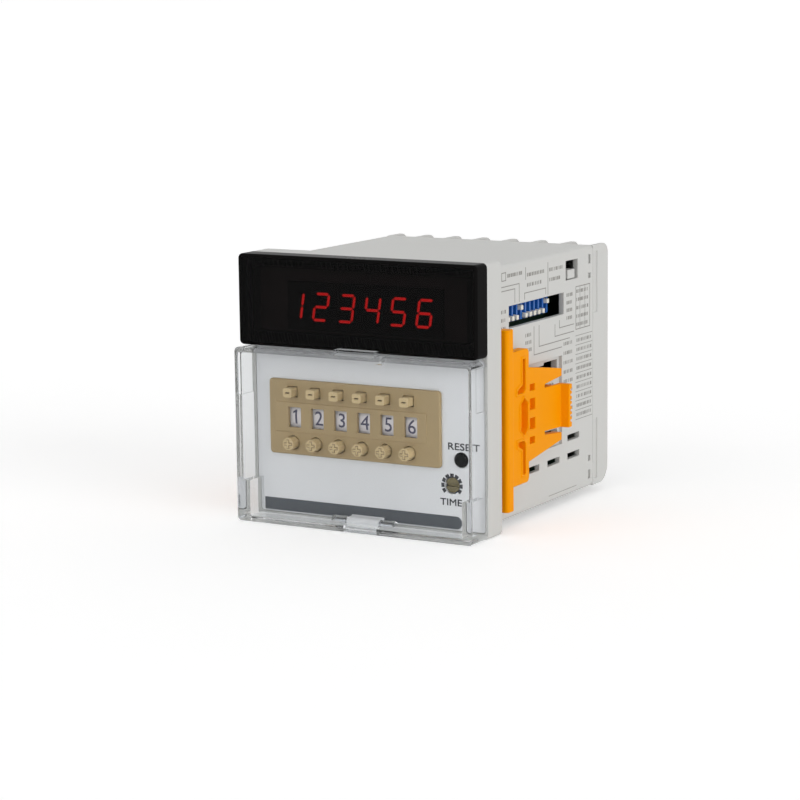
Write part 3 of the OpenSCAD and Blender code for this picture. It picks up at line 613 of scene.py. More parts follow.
@dataclass(frozen=True)
class FloorPaper(Finish):
    """Matt paper of the studio floor, lifted towards white where it is seen."""

    colour: Colour
    lift: float
    drift: float = 0.01
    grain: float = 900.0
    roughness: float = 0.9
    spread: float = 0.05
    specular: float = 0.1

    def build(self) -> bpy.types.Material:
        """Build the paper and its lift.

        Returns:
            The material.
        """
        bench = MaterialBench(self.name)
        board = bench.board
        paper = bench.effect(Effect.MOULD_GRAIN, {
            "Colour": self.colour, "Drift": self.drift, "Grain": self.grain,
            "Gloss": self.roughness, "Spread": self.spread})
        board.link(paper.outputs["Colour"], bench.shader.inputs["Base Color"])
        bench.set(Roughness=self.roughness, Specular_IOR_Level=self.specular)
        lift = board.add("ShaderNodeEmission")
        board.link(board.maths("MULTIPLY", background_rays(board), self.lift), lift.inputs["Strength"])
        both = board.add("ShaderNodeAddShader")
        board.link(bench.shader.outputs[0], both.inputs[0])
        board.link(lift.outputs[0], both.inputs[1])
        board.link(both.outputs[0], bench.output.inputs["Surface"])
        return bench.material


CASE_GREY = MouldedPlastic("case_grey_moulded", screen(201, 201, 198), gloss=0.5)
PLATE_GREY = MouldedPlastic("plate_grey_moulded", screen(219, 220, 222), gloss=0.42, relief=0.006 * MM)
STRIP_SLATE = MouldedPlastic(
    "strip_slate_lacquer", screen(84, 88, 93), gloss=0.5, relief=0.004 * MM, ior=1.35)
TAN = MouldedPlastic("tan_moulded", screen(166, 145, 107), gloss=0.46, ior=1.4)
KEY_TAN = MouldedPlastic("key_tan_moulded", screen(200, 178, 136), gloss=0.42, ior=1.4)
# Painted shade: a dark tan for thin sheets laid in the keys' marks, where shade falls.
KEY_PAINTED_SHADE = MouldedPlastic("key_painted_shade", screen(92, 74, 46), gloss=0.55, relief=0.002 * MM)
DRUM_WHITE = MouldedPlastic("drum_white_moulded", screen(222, 218, 221), gloss=0.4)
CAP_BLACK = MouldedPlastic("cap_black_moulded", screen(12, 12, 13), gloss=0.4, ior=1.2)
RIM_BLACK = MouldedPlastic(
    "rim_black_moulded", screen(17, 16, 16), gloss=0.3, relief=0.003 * MM, ior=1.06)
MODULE_DARK = MouldedPlastic(
    "module_dark_moulded", screen(16, 12, 13), gloss=0.5, drift=0.01, relief=0.003 * MM)
LEVER_BLUE = MouldedPlastic("lever_blue_moulded", screen(27, 98, 180), gloss=0.36)
LEVER_IVORY = MouldedPlastic("lever_ivory_moulded", screen(238, 233, 220), gloss=0.4)
CLAMP_ORANGE = MouldedPlastic(
    "clamp_orange_moulded", screen(246, 154, 0), gloss=0.42, ior=1.12, depth_glow=0.15)
INK_GREY = MouldedPlastic("ink_grey_print", screen(136, 134, 129), gloss=0.6, relief=0.002 * MM)
INK_DARK = MouldedPlastic("ink_dark_print", screen(62, 63, 67), gloss=0.55, relief=0.002 * MM, ior=1.3)
INK_SLATE = MouldedPlastic(
    "ink_slate_print", screen(86, 85, 106), gloss=0.5, relief=0.002 * MM, ior=1.35)
UNLIT_BAR = MouldedPlastic("unlit_bar_moulded", screen(14, 10, 10), gloss=0.4, ior=1.3)
CLEAR = ClearPlastic("clear_polished", (0.86, 0.868, 0.872, 1.0), (0.91, 0.92, 0.925, 1.0), ior=1.18)
SMOKED = ClearPlastic(
    "smoked_polished", (0.06, 0.045, 0.045, 1.0), (0.02, 0.015, 0.015, 1.0), ior=1.15)
STEEL = PlatedMetal("steel_plated", screen(196, 198, 202))
BRASS = PlatedMetal("brass_plated", screen(205, 170, 96))
ROTOR_METAL = PlatedMetal("rotor_metal", screen(122, 114, 88), gloss=0.42)
LIT_RED = GlowingSegment("lit_red_bar", (1.0, 0.02, 0.022, 1.0), 5.5, screen(70, 8, 8))
BOARD_GREEN = CircuitBoard("board_green_lacquer", screen(14, 32, 22), screen(26, 52, 34))
CORE_SHEETS = BandedStack(
    "core_sheet_stack", screen(120, 122, 126), screen(60, 60, 62), Lay.ACROSS, 400.0, metallic=1.0)
COIL_TURNS = BandedStack("coil_wire_turns", screen(196, 124, 60), screen(96, 52, 22), Lay.UP, 500.0)
FLOOR_PAPER = FloorPaper("floor_paper", (0.93, 0.93, 0.93, 1.0), 0.31)


@dataclass(frozen=True)
class Rounding:
    """How far the sharp edges of a moulded piece are rounded."""

    width: float
    segments: int = 2


def new_object(name: str, data: bpy.types.ID) -> bpy.types.Object:
    """Make an object at the origin and put it in the scene.

    Args:
        name: Name of the object.
        data: Its mesh, curve, lamp or camera.

    Returns:
        The object.
    """
    made = bpy.data.objects.new(name, data)
    bpy.context.scene.collection.objects.link(made)
    return made


def mesh_box(mesh: Mesh) -> tuple[Vector, Vector]:
    """Measure a mesh.

    Args:
        mesh: The mesh.

    Returns:
        The lowest and the highest corner of its box.
    """
    low = Vector([min(v.co[i] for v in mesh.vertices) for i in range(3)])
    high = Vector([max(v.co[i] for v in mesh.vertices) for i in range(3)])
    return low, high


def settled(draft: bpy.types.Object, name: str) -> Mesh:
    """Turn an object with modifiers into a plain mesh and remove the object.

    Args:
        draft: The object, which is removed.
        name: Name of the new mesh.

    Returns:
        The mesh as the modifiers leave it.
    """
    depsgraph = bpy.context.evaluated_depsgraph_get()
    mesh = bpy.data.meshes.new_from_object(
        draft.evaluated_get(depsgraph), preserve_all_data_layers=True, depsgraph=depsgraph)
    mesh.name = name
    bpy.data.objects.remove(draft)
    return mesh


def cleaned(mesh: Mesh) -> Mesh:
    """Copy a construction mesh with its loose triangles merged into faces.

    Args:
        mesh: The construction mesh, which stays as it is.

    Returns:
        The clean copy.
    """
    copy = mesh.copy()
    for name in STALE_LAYERS:
        if name in copy.attributes:
            copy.attributes.remove(copy.attributes[name])
    work = bmesh.new()
    work.from_mesh(copy)
    bmesh.ops.remove_doubles(work, verts=work.verts, dist=MERGE_DISTANCE)
    bmesh.ops.dissolve_limit(work, angle_limit=FLAT_ANGLE, verts=work.verts, edges=work.edges)
    bmesh.ops.connect_verts_concave(work, faces=work.faces)
    for face in work.faces:
        face.smooth = True
    work.to_mesh(copy)
    work.free()
    return copy


def rounded(mesh: Mesh, rounding: Rounding, name: str) -> Mesh:
    """Round the sharp edges of a mesh.

    Args:
        mesh: A clean mesh.
        rounding: Width and steps of the rounding.
        name: Name of the new mesh.

    Returns:
        A mesh with round edges and flat-looking faces.
    """
    draft = new_object(name, mesh)
    bevel = draft.modifiers.new("edge", "BEVEL")
    bevel.width = rounding.width
    bevel.segments = rounding.segments
    bevel.limit_method = "ANGLE"
    bevel.angle_limit = EDGE_ANGLE
    bevel.use_clamp_overlap = False
    bevel.loop_slide = False
    bevel.harden_normals = False
    shade = draft.modifiers.new("shade", "WEIGHTED_NORMAL")
    shade.mode = "FACE_AREA"
    shade.weight = FACE_WEIGHT
    return settled(draft, name)


class Construction:
    """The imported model: its nodes and bodies, and the ways to dress them."""

    def __init__(self, frame: dict) -> None:
        """Keep the frame's nodes and note which body carries each.

        Args:
            frame: The frame as it was loaded.
        """
        self.nodes = frame["nodes"]
        self.carrier = {
            node: body
            for body, members in frame["record"]["behaviour"]["bodies"].items()
            for node in members
        }

    def centre(self, node: str) -> Vector:
        """Return the middle of a node's box."""
        low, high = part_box(node)
        return (low + high) / 2

    def shape(self, node: str) -> Mesh:
        """Return a clean copy of a node's mesh."""
        return cleaned(self.nodes[node].data)

    def add(self, piece: bpy.types.Object, body: str, finish: Finish, slot: str) -> bpy.types.Object:
        """Finish a new piece and let it ride on a body.

        Args:
            piece: The piece, in place.
            body: The body that carries it.
            finish: Its finish.
            slot: The record's material slot; not used.

        Returns:
            The piece.
        """
        piece.data.materials.clear()
        piece.data.materials.append(finish.material())
        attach(piece, body)
        low, high = mesh_box(piece.data)
        spans = (high - low) / MM
        faces = len(piece.data.polygons)
        LOG.info("%s on %s, %d faces, %.2f x %.2f x %.2f mm", piece.name, body, faces, *spans)
        return piece

    def dress(
            self, node: str, name: str, finish: Finish, slot: str, rounding: Rounding) -> bpy.types.Object:
        """Replace a node by a copy with round edges and a finish.

        Args:
            node: The construction node.
            name: Name of the piece that stands for it.
            finish: Its finish.
            slot: The record's material slot.
            rounding: Rounding of its edges.

        Returns:
            The piece.
        """
        mesh = rounded(self.shape(node), rounding, name)
        low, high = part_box(node)
        for vertex in mesh.vertices:
            vertex.co = [min(max(vertex.co[i], low[i]), high[i]) for i in range(3)]
        piece = new_object(name, mesh)
        self.add(piece, self.carrier[node], finish, slot)
        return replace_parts(piece, node)

    def paint(self, node: str, finish: Finish) -> None:
        """Give a node that keeps its own shape a finish.

        Args:
            node: The construction node.
            finish: Its finish.
        """
        self.nodes[node].data.materials.clear()
        self.nodes[node].data.materials.append(finish.material())
        LOG.info("%s keeps its shape", node)


def joined(meshes: Iterable[Mesh], name: str) -> Mesh:
    """Put several meshes into one and remove them.

    Args:
        meshes: The meshes, in place.
        name: Name of the new mesh.

    Returns:
        The one mesh.
    """
    work = bmesh.new()
    for mesh in meshes:
        work.from_mesh(mesh)
        bpy.data.meshes.remove(mesh)
    result = bpy.data.meshes.new(name)
    work.to_mesh(result)
    work.free()
    return result


def slab(outline: Sequence[Point], depth: float, name: str) -> Mesh:
    """Make a flat slab from an outline, standing on the XY plane.

    Args:
        outline: Corners, counter-clockwise.
        depth: Thickness along +Z.
        name: Name of the mesh.

    Returns:
        The closed slab.
    """
    work = bmesh.new()
    low = [work.verts.new((x, y, 0.0)) for x, y in outline]
    high = [work.verts.new((x, y, depth)) for x, y in outline]
    work.faces.new(list(reversed(low)))
    work.faces.new(high)
    count = len(outline)
    for i in range(count):
        j = (i + 1) % count
        work.faces.new((low[i], low[j], high[j], high[i]))
    mesh = bpy.data.meshes.new(name)
    work.to_mesh(mesh)
    work.free()
    return mesh


def bar_outline(wide: float, tall: float) -> list[Point]:
    """Return the corners of a rectangle about its middle."""
    return [(-wide / 2, -tall / 2), (wide / 2, -tall / 2), (wide / 2, tall / 2), (-wide / 2, tall / 2)]


def cross_outline(length: float, width: float) -> list[Point]:
    """Draw an upright cross about its middle.

    Args:
        length: Length of both arms.
        width: Width of both arms.

    Returns:
        The cross's corners.
    """
    a = length / 2
    b = width / 2
    return [(-b, -a), (b, -a), (b, -b), (a, -b), (a, b), (b, b),
            (b, a), (-b, a), (-b, b), (-a, b), (-a, -b), (-b, -b)]


def legend(words: str, size: Point, depth: float, name: str, weight: float = 0.0) -> Mesh:
    """Make lettering of a given width and height, standing on the XY plane about its middle.

    Args:
        words: The letters or figures.
        size: Width and height; a width of 0 keeps the font's own.
        depth: Thickness along +Z.
        name: Name of the mesh.
        weight: How far each stroke's edge moves outwards.

    Returns:
        The closed lettering.
    """
    curve = bpy.data.curves.new(name, "FONT")
    curve.body = words
    curve.resolution_u = LETTER_STEPS
    curve.extrude = LETTER_HALF
    mesh = settled(new_object(name, curve), name)
    bpy.data.curves.remove(curve)
    low, high = mesh_box(mesh)
    tall = (size[1] - 2 * weight) / (high.y - low.y)
    wide = (size[0] - 2 * weight) / (high.x - low.x) if size[0] else tall
    middle = (low + high) / 2
    mesh.transform(Matrix.Diagonal((wide, tall, depth, 1.0))
                   @ Matrix.Translation((-middle.x, -middle.y, -low.z)))
    work = bmesh.new()
    work.from_mesh(mesh)
    bmesh.ops.remove_doubles(work, verts=work.verts, dist=MERGE_DISTANCE)
    work.normal_update()
    for vertex in work.verts:
        walls = [face.normal for face in vertex.link_faces if abs(face.normal.z) < WALL_TILT]
        vertex.co += sum(walls, Vector()).normalized() * weight
    work.to_mesh(mesh)
    work.free()
    return mesh


class Facing(Enum):
    """The side of the object that a flat piece is laid on, by its right and its up."""

    FRONT = ((1, 0, 0), (0, 0, 1))
    RIGHT = ((0, 1, 0), (0, 0, 1))
    REAR = ((-1, 0, 0), (0, 0, 1))

    def place(self, origin: Vector) -> Matrix:
        """Work out how a piece moves from the XY plane to this side.

        Args:
            origin: Where the piece's own origin goes.

        Returns:
            The matrix of the move.
        """
        right = Vector(self.value[0])
        up = Vector(self.value[1])
        turn = Matrix((right, up, right.cross(up))).transposed().to_4x4()
        return Matrix.Translation(origin) @ turn


class PointTree:
    """A Geometry Nodes tree that sets a shape on points by a rule and joins the result."""

    COMMON = (
        ("Shape", "NodeSocketObject"),
        ("Count", "NodeSocketInt"),
        ("Shortest", "NodeSocketFloat"),
        ("Longest", "NodeSocketFloat"),
        ("Seed", "NodeSocketInt"),
        ("Finish", "NodeSocketMaterial"),
    )

    def __init__(self, name: str, own_inputs: Sequence[str]) -> None:
        """Start a tree with the common inputs and the rule's own numbers.

        Args:
            name: Name of the tree.
            own_inputs: Names of the rule's own numbers.
        """
        self.tree = bpy.data.node_groups.new(name, "GeometryNodeTree")
        for label, kind in self.COMMON:
            self.tree.interface.new_socket(name=label, in_out="INPUT", socket_type=kind)
        for label in own_inputs:
            self.tree.interface.new_socket(name=label, in_out="INPUT", socket_type="NodeSocketFloat")
        self.tree.interface.new_socket(name="Geometry", in_out="OUTPUT", socket_type="NodeSocketGeometry")
        self.board = NodeBoard(self.tree)
        self.given = self.board.add("NodeGroupInput").outputs
        self.index = self.board.add("GeometryNodeInputIndex").outputs[0]

    def vector(self, *terms: object) -> Socket:
        """Combine three terms into a vector.

        Args:
            *terms: Three numbers or output sockets.

        Returns:
            The vector's socket.
        """
        node = self.board.add("ShaderNodeCombineXYZ")
        for target, term in zip(node.inputs, terms):
            self.board.feed(target, term)
        return node.outputs[0]

    def chance(self, low: object, high: object) -> Socket:
        """Add a seeded random number.

        Args:
            low: Lowest number, or its output socket.
            high: Highest number, or its output socket.

        Returns:
            The random number's socket.
        """
        node = self.board.add("FunctionNodeRandomValue", data_type="FLOAT")
        limits = [s for s in node.inputs if s.type == "VALUE" and s.enabled]
        for target, term in zip(limits, (low, high)):
            self.board.feed(target, term)
        self.board.link(self.given["Seed"], node.inputs["Seed"])
        return next(s for s in node.outputs if s.type == "VALUE" and s.enabled)

    def close(self, place: Socket, turn: Socket) -> None:
        """End the tree: set the shape on the points, make it real and give it its finish.

        Args:
            place: Position of each point.
            turn: Turn of the shape about its own axes.
        """
        board = self.board
        points = board.add("GeometryNodePoints")
        board.link(self.given["Count"], points.inputs["Count"])
        board.link(place, points.inputs["Position"])
        shape = board.add("GeometryNodeObjectInfo")
        board.link(self.given["Shape"], shape.inputs["Object"])
        spread = board.add("GeometryNodeInstanceOnPoints")
        board.link(points.outputs[0], spread.inputs["Points"])
        board.link(shape.outputs["Geometry"], spread.inputs["Instance"])
        board.link(turn, spread.inputs["Rotation"])
        stretch = self.chance(self.given["Shortest"], self.given["Longest"])
        board.link(self.vector(stretch, 1.0, 1.0), spread.inputs["Scale"])
        real = board.add("GeometryNodeRealizeInstances")
        board.link(spread.outputs[0], real.inputs[0])
        painted = board.add("GeometryNodeSetMaterial")
        board.link(real.outputs[0], painted.inputs["Geometry"])
        board.link(self.given["Finish"], painted.inputs["Material"])
        board.link(painted.outputs[0], board.add("NodeGroupOutput").inputs[0])

    def run(self, shape: Mesh, finish: Finish, values: dict[str, object], name: str) -> Mesh:
        """Run the tree on a shape.

        Args:
            shape: The shape that repeats, about the origin; it is removed.
            finish: Finish of the result.
            values: The tree's inputs, by name.
            name: Name of the new mesh.

        Returns:
            The joined mesh.
        """
        pattern = new_object(name + "_pattern", shape)
        draft = new_object(name, bpy.data.meshes.new(name))
        modifier = draft.modifiers.new("repeat", "NODES")
        modifier.node_group = self.tree
        sockets = {item.name: item.identifier for item in self.tree.interface.items_tree
                   if item.in_out == "INPUT"}
        settings = {"Shape": pattern, "Finish": finish.material(), "Shortest": 1.0, "Longest": 1.0,
                    "Seed": 1, **values}
        for label, value in settings.items():
            modifier[sockets[label]] = value
        mesh = settled(draft, name)
        bpy.data.objects.remove(pattern)
        bpy.data.meshes.remove(shape)
        return mesh


def grid_tree() -> PointTree:
    """Build the tree that fills rows and columns.

    Returns:
        The tree.
    """
    made = PointTree("rows_and_columns", ("Columns", "Column Pitch", "Row Pitch", "Turn"))
    board = made.board
    columns = made.given["Columns"]
    column = board.maths("MODULO", made.index, columns)
    row = board.maths("DIVIDE", board.maths("SUBTRACT", made.index, column), columns)
    place = made.vector(board.maths("MULTIPLY", column, made.given["Column Pitch"]),
                        board.maths("MULTIPLY", row, made.given["Row Pitch"]), 0.0)
    turn = made.vector(0.0, 0.0, made.chance(0.0, made.given["Turn"]))
    made.close(place, turn)
    return made


def arc_tree() -> PointTree:
    """Build the tree that goes round an arc.

    Returns:
        The tree.
    """
    made = PointTree("round_an_arc", ("Radius", "Start", "Step"))
    board = made.board
    radius = made.given["Radius"]
    angle = board.maths("ADD", board.maths("MULTIPLY", made.index, made.given["Step"]), made.given["Start"])
    place = made.vector(board.maths("MULTIPLY", board.maths("COSINE", angle), radius),
                        board.maths("MULTIPLY", board.maths("SINE", angle), radius), 0.0)
    made.close(place, made.vector(0.0, 0.0, angle))
    return made


@dataclass
class InkSheet:
    """Thin flat print on one side of the object, in millimetres across and up."""

    facing: Facing
    origin: Vector
    meshes: list[Mesh] = field(default_factory=list)

    def lay(self, mesh: Mesh, across: float, up: float) -> None:
        """Put a flat mesh on the sheet, at a point in millimetres."""
        mesh.transform(Matrix.Translation((across * MM, up * MM, 0.0)))
        self.meshes.append(mesh)

    def bar(self, left: float, low: float, right: float, high: float) -> None:
        """Print a filled rectangle."""
        corners = [(left, low), (right, low), (right, high), (left, high)]
        self.lay(slab([(x * MM, y * MM) for x, y in corners], INK_DEPTH, "bar"), 0.0, 0.0)

    def path(self, points: Sequence[Point], width: float) -> None:
        """Print a line with square corners.

        Args:
            points: Points of which each shares a row or a column with the next.
            width: Width of the line.
        """
        half = width / 2
        for (x0, y0), (x1, y1) in zip(points, points[1:]):
            self.bar(min(x0, x1) - half, min(y0, y1) - half, max(x0, x1) + half, max(y0, y1) + half)

    def frame(self, left: float, low: float, right: float, high: float, width: float) -> None:
        """Print the outline of a rectangle.

        Args:
            left: Its left side.
            low: Its foot.
            right: Its right side.
            high: Its top.
            width: Width of the line, which lies inside.
        """
        inner = width / 2
        self.bar(left, low, right, low + width)
        self.bar(left, high - width, right, high)
        self.bar(left, low + inner, left + width, high - inner)
        self.bar(right - width, low + inner, right, high - inner)

    def piece(self, name: str) -> bpy.types.Object:
        """Make the print one piece, laid on its side.

        Args:
            name: Name of the piece.

        Returns:
            The piece.
        """
        mesh = joined(self.meshes, name)
        mesh.transform(self.facing.place(self.origin))
        return new_object(name, mesh)


@dataclass(frozen=True)
class DashBlock:
    """A block of short printed dashes, from its top left, in millimetres."""

    across: float
    up: float
    columns: int
    rows: int
    row_pitch: float
    seed: int


@dataclass
class CaseShell:
    """Sleeve with the square flange. The print on its right side has its sizes in millimetres."""

    edge: Rounding = Rounding(0.16 * MM)
    line: float = 0.24
    rule: float = 0.16
    lines: tuple[tuple[Point, ...], ...] = (
        ((5.9, 28.1), (15.9, 28.1), (15.9, 23.4)),
        ((5.9, 27.0), (13.4, 27.0), (13.4, 23.4)),
        ((19.0, 23.6), (19.0, 25.2), (31.4, 25.2), (31.4, 23.6)),
        ((32.7, 31.9), (32.7, 23.4)),
        ((19.6, 31.9), (19.6, 28.8)),
        ((36.9, 14.6), (36.9, 11.4), (48.4, 11.4)),
        ((39.6, 15.4), (39.6, 13.4), (48.4, 13.4)),
        ((24.4, 15.6), (24.4, 8.0), (41.0, 8.0)),
        ((27.4, 15.6), (27.4, 9.9), (45.8, 9.9)),
    )
    rules: tuple[tuple[Point, ...], ...] = (
        ((52.3, 11.8), (52.3, 23.4)),
        ((55.4, 11.8), (55.4, 23.4)),
        ((33.0, -32.0), (50.0, -32.0)),
    )
    boxes: tuple[tuple[float, float, float, float], ...] = (
        (5.9, 29.6, 8.4, 31.9),
        (49.6, 11.6, 58.6, 23.6),
    )
    dash_length: float = 0.76
    dash_height: float = 0.95
    dash_pitch: float = 0.95
    shortest_share: float = 0.35
    dash_blocks: tuple[DashBlock, ...] = (
        DashBlock(9.2, 30.8, 9, 1, 2.5, seed=3),
        DashBlock(20.4, 29.9, 11, 1, 2.6, seed=5),
        DashBlock(20.4, 27.2, 9, 1, 2.6, seed=6),
        DashBlock(33.5, 29.9, 9, 1, 2.6, seed=7),
        DashBlock(33.5, 27.2, 7, 1, 2.6, seed=8),
        DashBlock(5.6, 21.6, 3, 4, 2.2, seed=9),
        DashBlock(44.0, 21.8, 4, 4, 2.1, seed=11),
        DashBlock(50.1, 22.2, 8, 5, 2.3, seed=13),
        DashBlock(19.4, 13.8, 4, 3, 2.0, seed=15),
        DashBlock(42.2, 8.6, 6, 9, 2.6, seed=17),
    )
    table: DashBlock = DashBlock(50.2, 8.6, 10, 9, 2.6, seed=19)
    table_sides: Point = (49.6, 60.0)

    def build(self, model: Construction, grid: PointTree) -> None:
        """Build the shell and its print.

        Args:
            model: The construction model.
            grid: The tree that fills rows and columns.
        """
        model.dress("case", "case_shell", CASE_GREY, "case_grey", self.edge)
        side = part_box("terminal_block")[1].x
        sheet = InkSheet(Facing.RIGHT, Vector((side, 0.0, 0.0)))
        self._diagram(sheet)
        for block in (*self.dash_blocks, self.table):
            self._dashes(sheet, grid, block)
        model.add(sheet.piece("side_print"), "counter", INK_GREY, "case_grey")

    def _diagram(self, sheet: InkSheet) -> None:
        """Print plain lines and boxes round the side windows, and the rules of the table.

        Args:
            sheet: The print on the side.
        """
        for points in self.lines:
            sheet.path(points, self.line)
        for points in self.rules:
            sheet.path(points, self.rule)
        for corners in self.boxes:
            sheet.frame(*corners, self.line)
        left, right = self.table_sides
        for row in range(self.table.rows + 1):
            height = self.table.up + (1 / 2 - row) * self.table.row_pitch
            sheet.path([(left, height), (right, height)], self.rule)

    def _dashes(self, sheet: InkSheet, grid: PointTree, block: DashBlock) -> None:
        """Print a block of short dashes of uneven length.

        Args:
            sheet: The print on the side.
            grid: The tree that fills rows and columns.
            block: Place and count of the dashes.
        """
        half = self.dash_height / 2 * MM
        dash = slab([(0.0, -half), (MM, -half), (MM, half), (0.0, half)], INK_DEPTH, "dash")
        mesh = grid.run(dash, INK_GREY, {
            "Count": block.columns * block.rows, "Columns": float(block.columns),
            "Column Pitch": self.dash_pitch * MM, "Row Pitch": -block.row_pitch * MM,
            "Shortest": self.dash_length * self.shortest_share, "Longest": self.dash_length,
            "Seed": block.seed}, "dash_rows")
        sheet.lay(mesh, block.across, block.up)


# Ends of a digit's bars, as shares of its width and of half its height
SEGMENTS = {
    "a": ((-0.5, 1.0), (0.5, 1.0)),
    "b": ((0.5, 1.0), (0.5, 0.0)),
    "c": ((0.5, 0.0), (0.5, -1.0)),
    "d": ((-0.5, -1.0), (0.5, -1.0)),
    "e": ((-0.5, 0.0), (-0.5, -1.0)),
    "f": ((-0.5, 1.0), (-0.5, 0.0)),
    "g": ((-0.5, 0.0), (0.5, 0.0)),
}
# Bars that are lit in each place of the row
LIT = {1: "bc", 2: "abged", 3: "abgcd", 4: "fgbc", 5: "afgcd", 6: "afgedc"}


@dataclass
class DisplayWindow:
    """Smoked cap with the row of red digits behind it."""

    digit_size: Point = (4.0 * MM, 7.0 * MM)
    bar_width: float = 0.72 * MM
    bar_gap: float = 0.14 * MM
    bar_depth: float = 0.05 * MM
    bar_sunk: float = 0.0125 * MM
    row_shift: float = -1.35 * MM
    slant: float = math.radians(9)
    rim: float = 0.9 * MM
    edge: Rounding = Rounding(0.08 * MM)

    def build(self, model: Construction) -> None:
        """Build the cap, the digit modules and the lit and unlit bars.

        Args:
            model: The construction model.
        """
        self._blacken(model.dress("display_window", "smoked_window", SMOKED, "smoked", self.edge))
        model.dress("led_digits", "digit_modules", MODULE_DARK, "led_dark", self.edge)
        low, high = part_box("led_digits")
        pitch = (high.x - low.x) / len(LIT)
        lit = []
        unlit = []
        for digit, on in LIT.items():
            across = low.x + (digit - 1 / 2) * pitch + self.row_shift
            centre = Vector((across, low.y + self.bar_sunk, (low.z + high.z) / 2))
            for letter in SEGMENTS:
                bar = self._bar(letter)
                bar.transform(Facing.FRONT.place(centre))
                (lit if letter in on else unlit).append(bar)
        model.add(new_object("lit_bars", joined(lit, "lit_bars")), "counter", LIT_RED, "led_dark")
        model.add(new_object("unlit_bars", joined(unlit, "unlit_bars")), "counter", UNLIT_BAR, "led_dark")

    def _blacken(self, window: bpy.types.Object) -> None:
        """Make the cap's outer walls opaque, so that only its face is seen through.

        Args:
            window: The cap's piece.
        """
        low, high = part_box("display_window")
        window.data.materials.append(RIM_BLACK.material())
        for face in window.data.polygons:
            middle = face.center
            inset = min(middle.x - low.x, high.x - middle.x, middle.z - low.z, high.z - middle.z)
            face.material_index = int(inset < self.rim)

    def _bar(self, letter: str) -> Mesh:
        """Make one bar of a digit, with pointed ends and the digit's slant.

        Args:
            letter: The bar's letter.

        Returns:
            The closed bar, about the digit's middle.
        """
        wide, tall = self.digit_size
        (x0, y0), (x1, y1) = SEGMENTS[letter]
        start = Vector((x0 * wide, y0 * tall / 2))
        end = Vector((x1 * wide, y1 * tall / 2))
        along = (end - start).normalized()
        side = Vector((-along.y, along.x))
        start += along * self.bar_gap
        end -= along * self.bar_gap
        half = self.bar_width / 2
        corners = [start, start + (along - side) * half, end - (along + side) * half,
                   end, end - (along - side) * half, start + (along + side) * half]
        lean = math.tan(self.slant)
        return slab([(c.x + c.y * lean, c.y) for c in corners], self.bar_depth, letter)


@dataclass(frozen=True)
class ControlLegend:
    """Words beside a control: their place from its middle and their size, in millimetres."""

    node: str
    words: str
    across: float
    up: float
    wide: float
    tall: float


@dataclass
class FrontPanel:
    """Plate, strip, reset button and time trimmer with their legends."""

    edge: Rounding = Rounding(0.08 * MM)
    strip_edge: Rounding = Rounding(0.04 * MM)
    button_edge: Rounding = Rounding(0.3 * MM, 3)
    rotor_edge: Rounding = Rounding(0.12 * MM)
    legends: tuple[ControlLegend, ...] = (
        ControlLegend("reset_button", "RESET", 0.4, 3.45, 8.6, 1.95),
        ControlLegend("trimmer_rotor", "TIME", -0.3, -4.45, 6.5, 1.85),
    )
    letter_weight: float = 0.07 * MM
    scale_radius: float = 2.68 * MM
    scale_blocks: int = 9
    scale_start: float = math.radians(-32)
    scale_sweep: float = math.radians(244)
    block: Point = (0.92 * MM, 1.02 * MM)
    block_flare: float = 1.15

    def build(self, model: Construction, arc: PointTree) -> None:
        """Build the plate and everything on it that is not the switch block.

        Args:
            model: The construction model.
            arc: The tree that goes round an arc.
        """
        model.dress("front_plate", "front_panel_plate", PLATE_GREY, "plate_grey", self.edge)
        model.dress("front_strip", "foot_strip", STRIP_SLATE, "strip_slate", self.strip_edge)
        model.dress("reset_button", "reset_cap", CAP_BLACK, "black", self.button_edge)
        model.dress("trimmer_rotor", "trimmer_screw", ROTOR_METAL, "brass", self.rotor_edge)
        sheet = InkSheet(Facing.FRONT, Vector((0.0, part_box("front_strip")[0].y, 0.0)))
        for item in self.legends:
            middle = model.centre(item.node) / MM
            mesh = legend(
                item.words, (item.wide * MM, item.tall * MM), INK_DEPTH, item.words, self.letter_weight)
            sheet.lay(mesh, middle.x + item.across, middle.z + item.up)
        trimmer = model.centre("trimmer_rotor") / MM
        sheet.lay(self._scale(arc), trimmer.x, trimmer.z)
        model.add(sheet.piece("panel_legends"), "counter", INK_DARK, "plate_grey")

    def _scale(self, arc: PointTree) -> Mesh:
        """Set the blocks of the time scale round its middle.

        Args:
            arc: The tree that goes round an arc.

        Returns:
            The blocks as one mesh.
        """
        reach = self.block[0] / 2
        inner = self.block[1] / 2
        outer = inner * self.block_flare
        outline = [(-reach, -inner), (reach, -outer), (reach, outer), (-reach, inner)]
        return arc.run(slab(outline, INK_DEPTH, "scale_block"), INK_DARK, {
            "Count": self.scale_blocks, "Radius": self.scale_radius, "Start": self.scale_start,
            "Step": self.scale_sweep / (self.scale_blocks - 1)}, "time_scale")


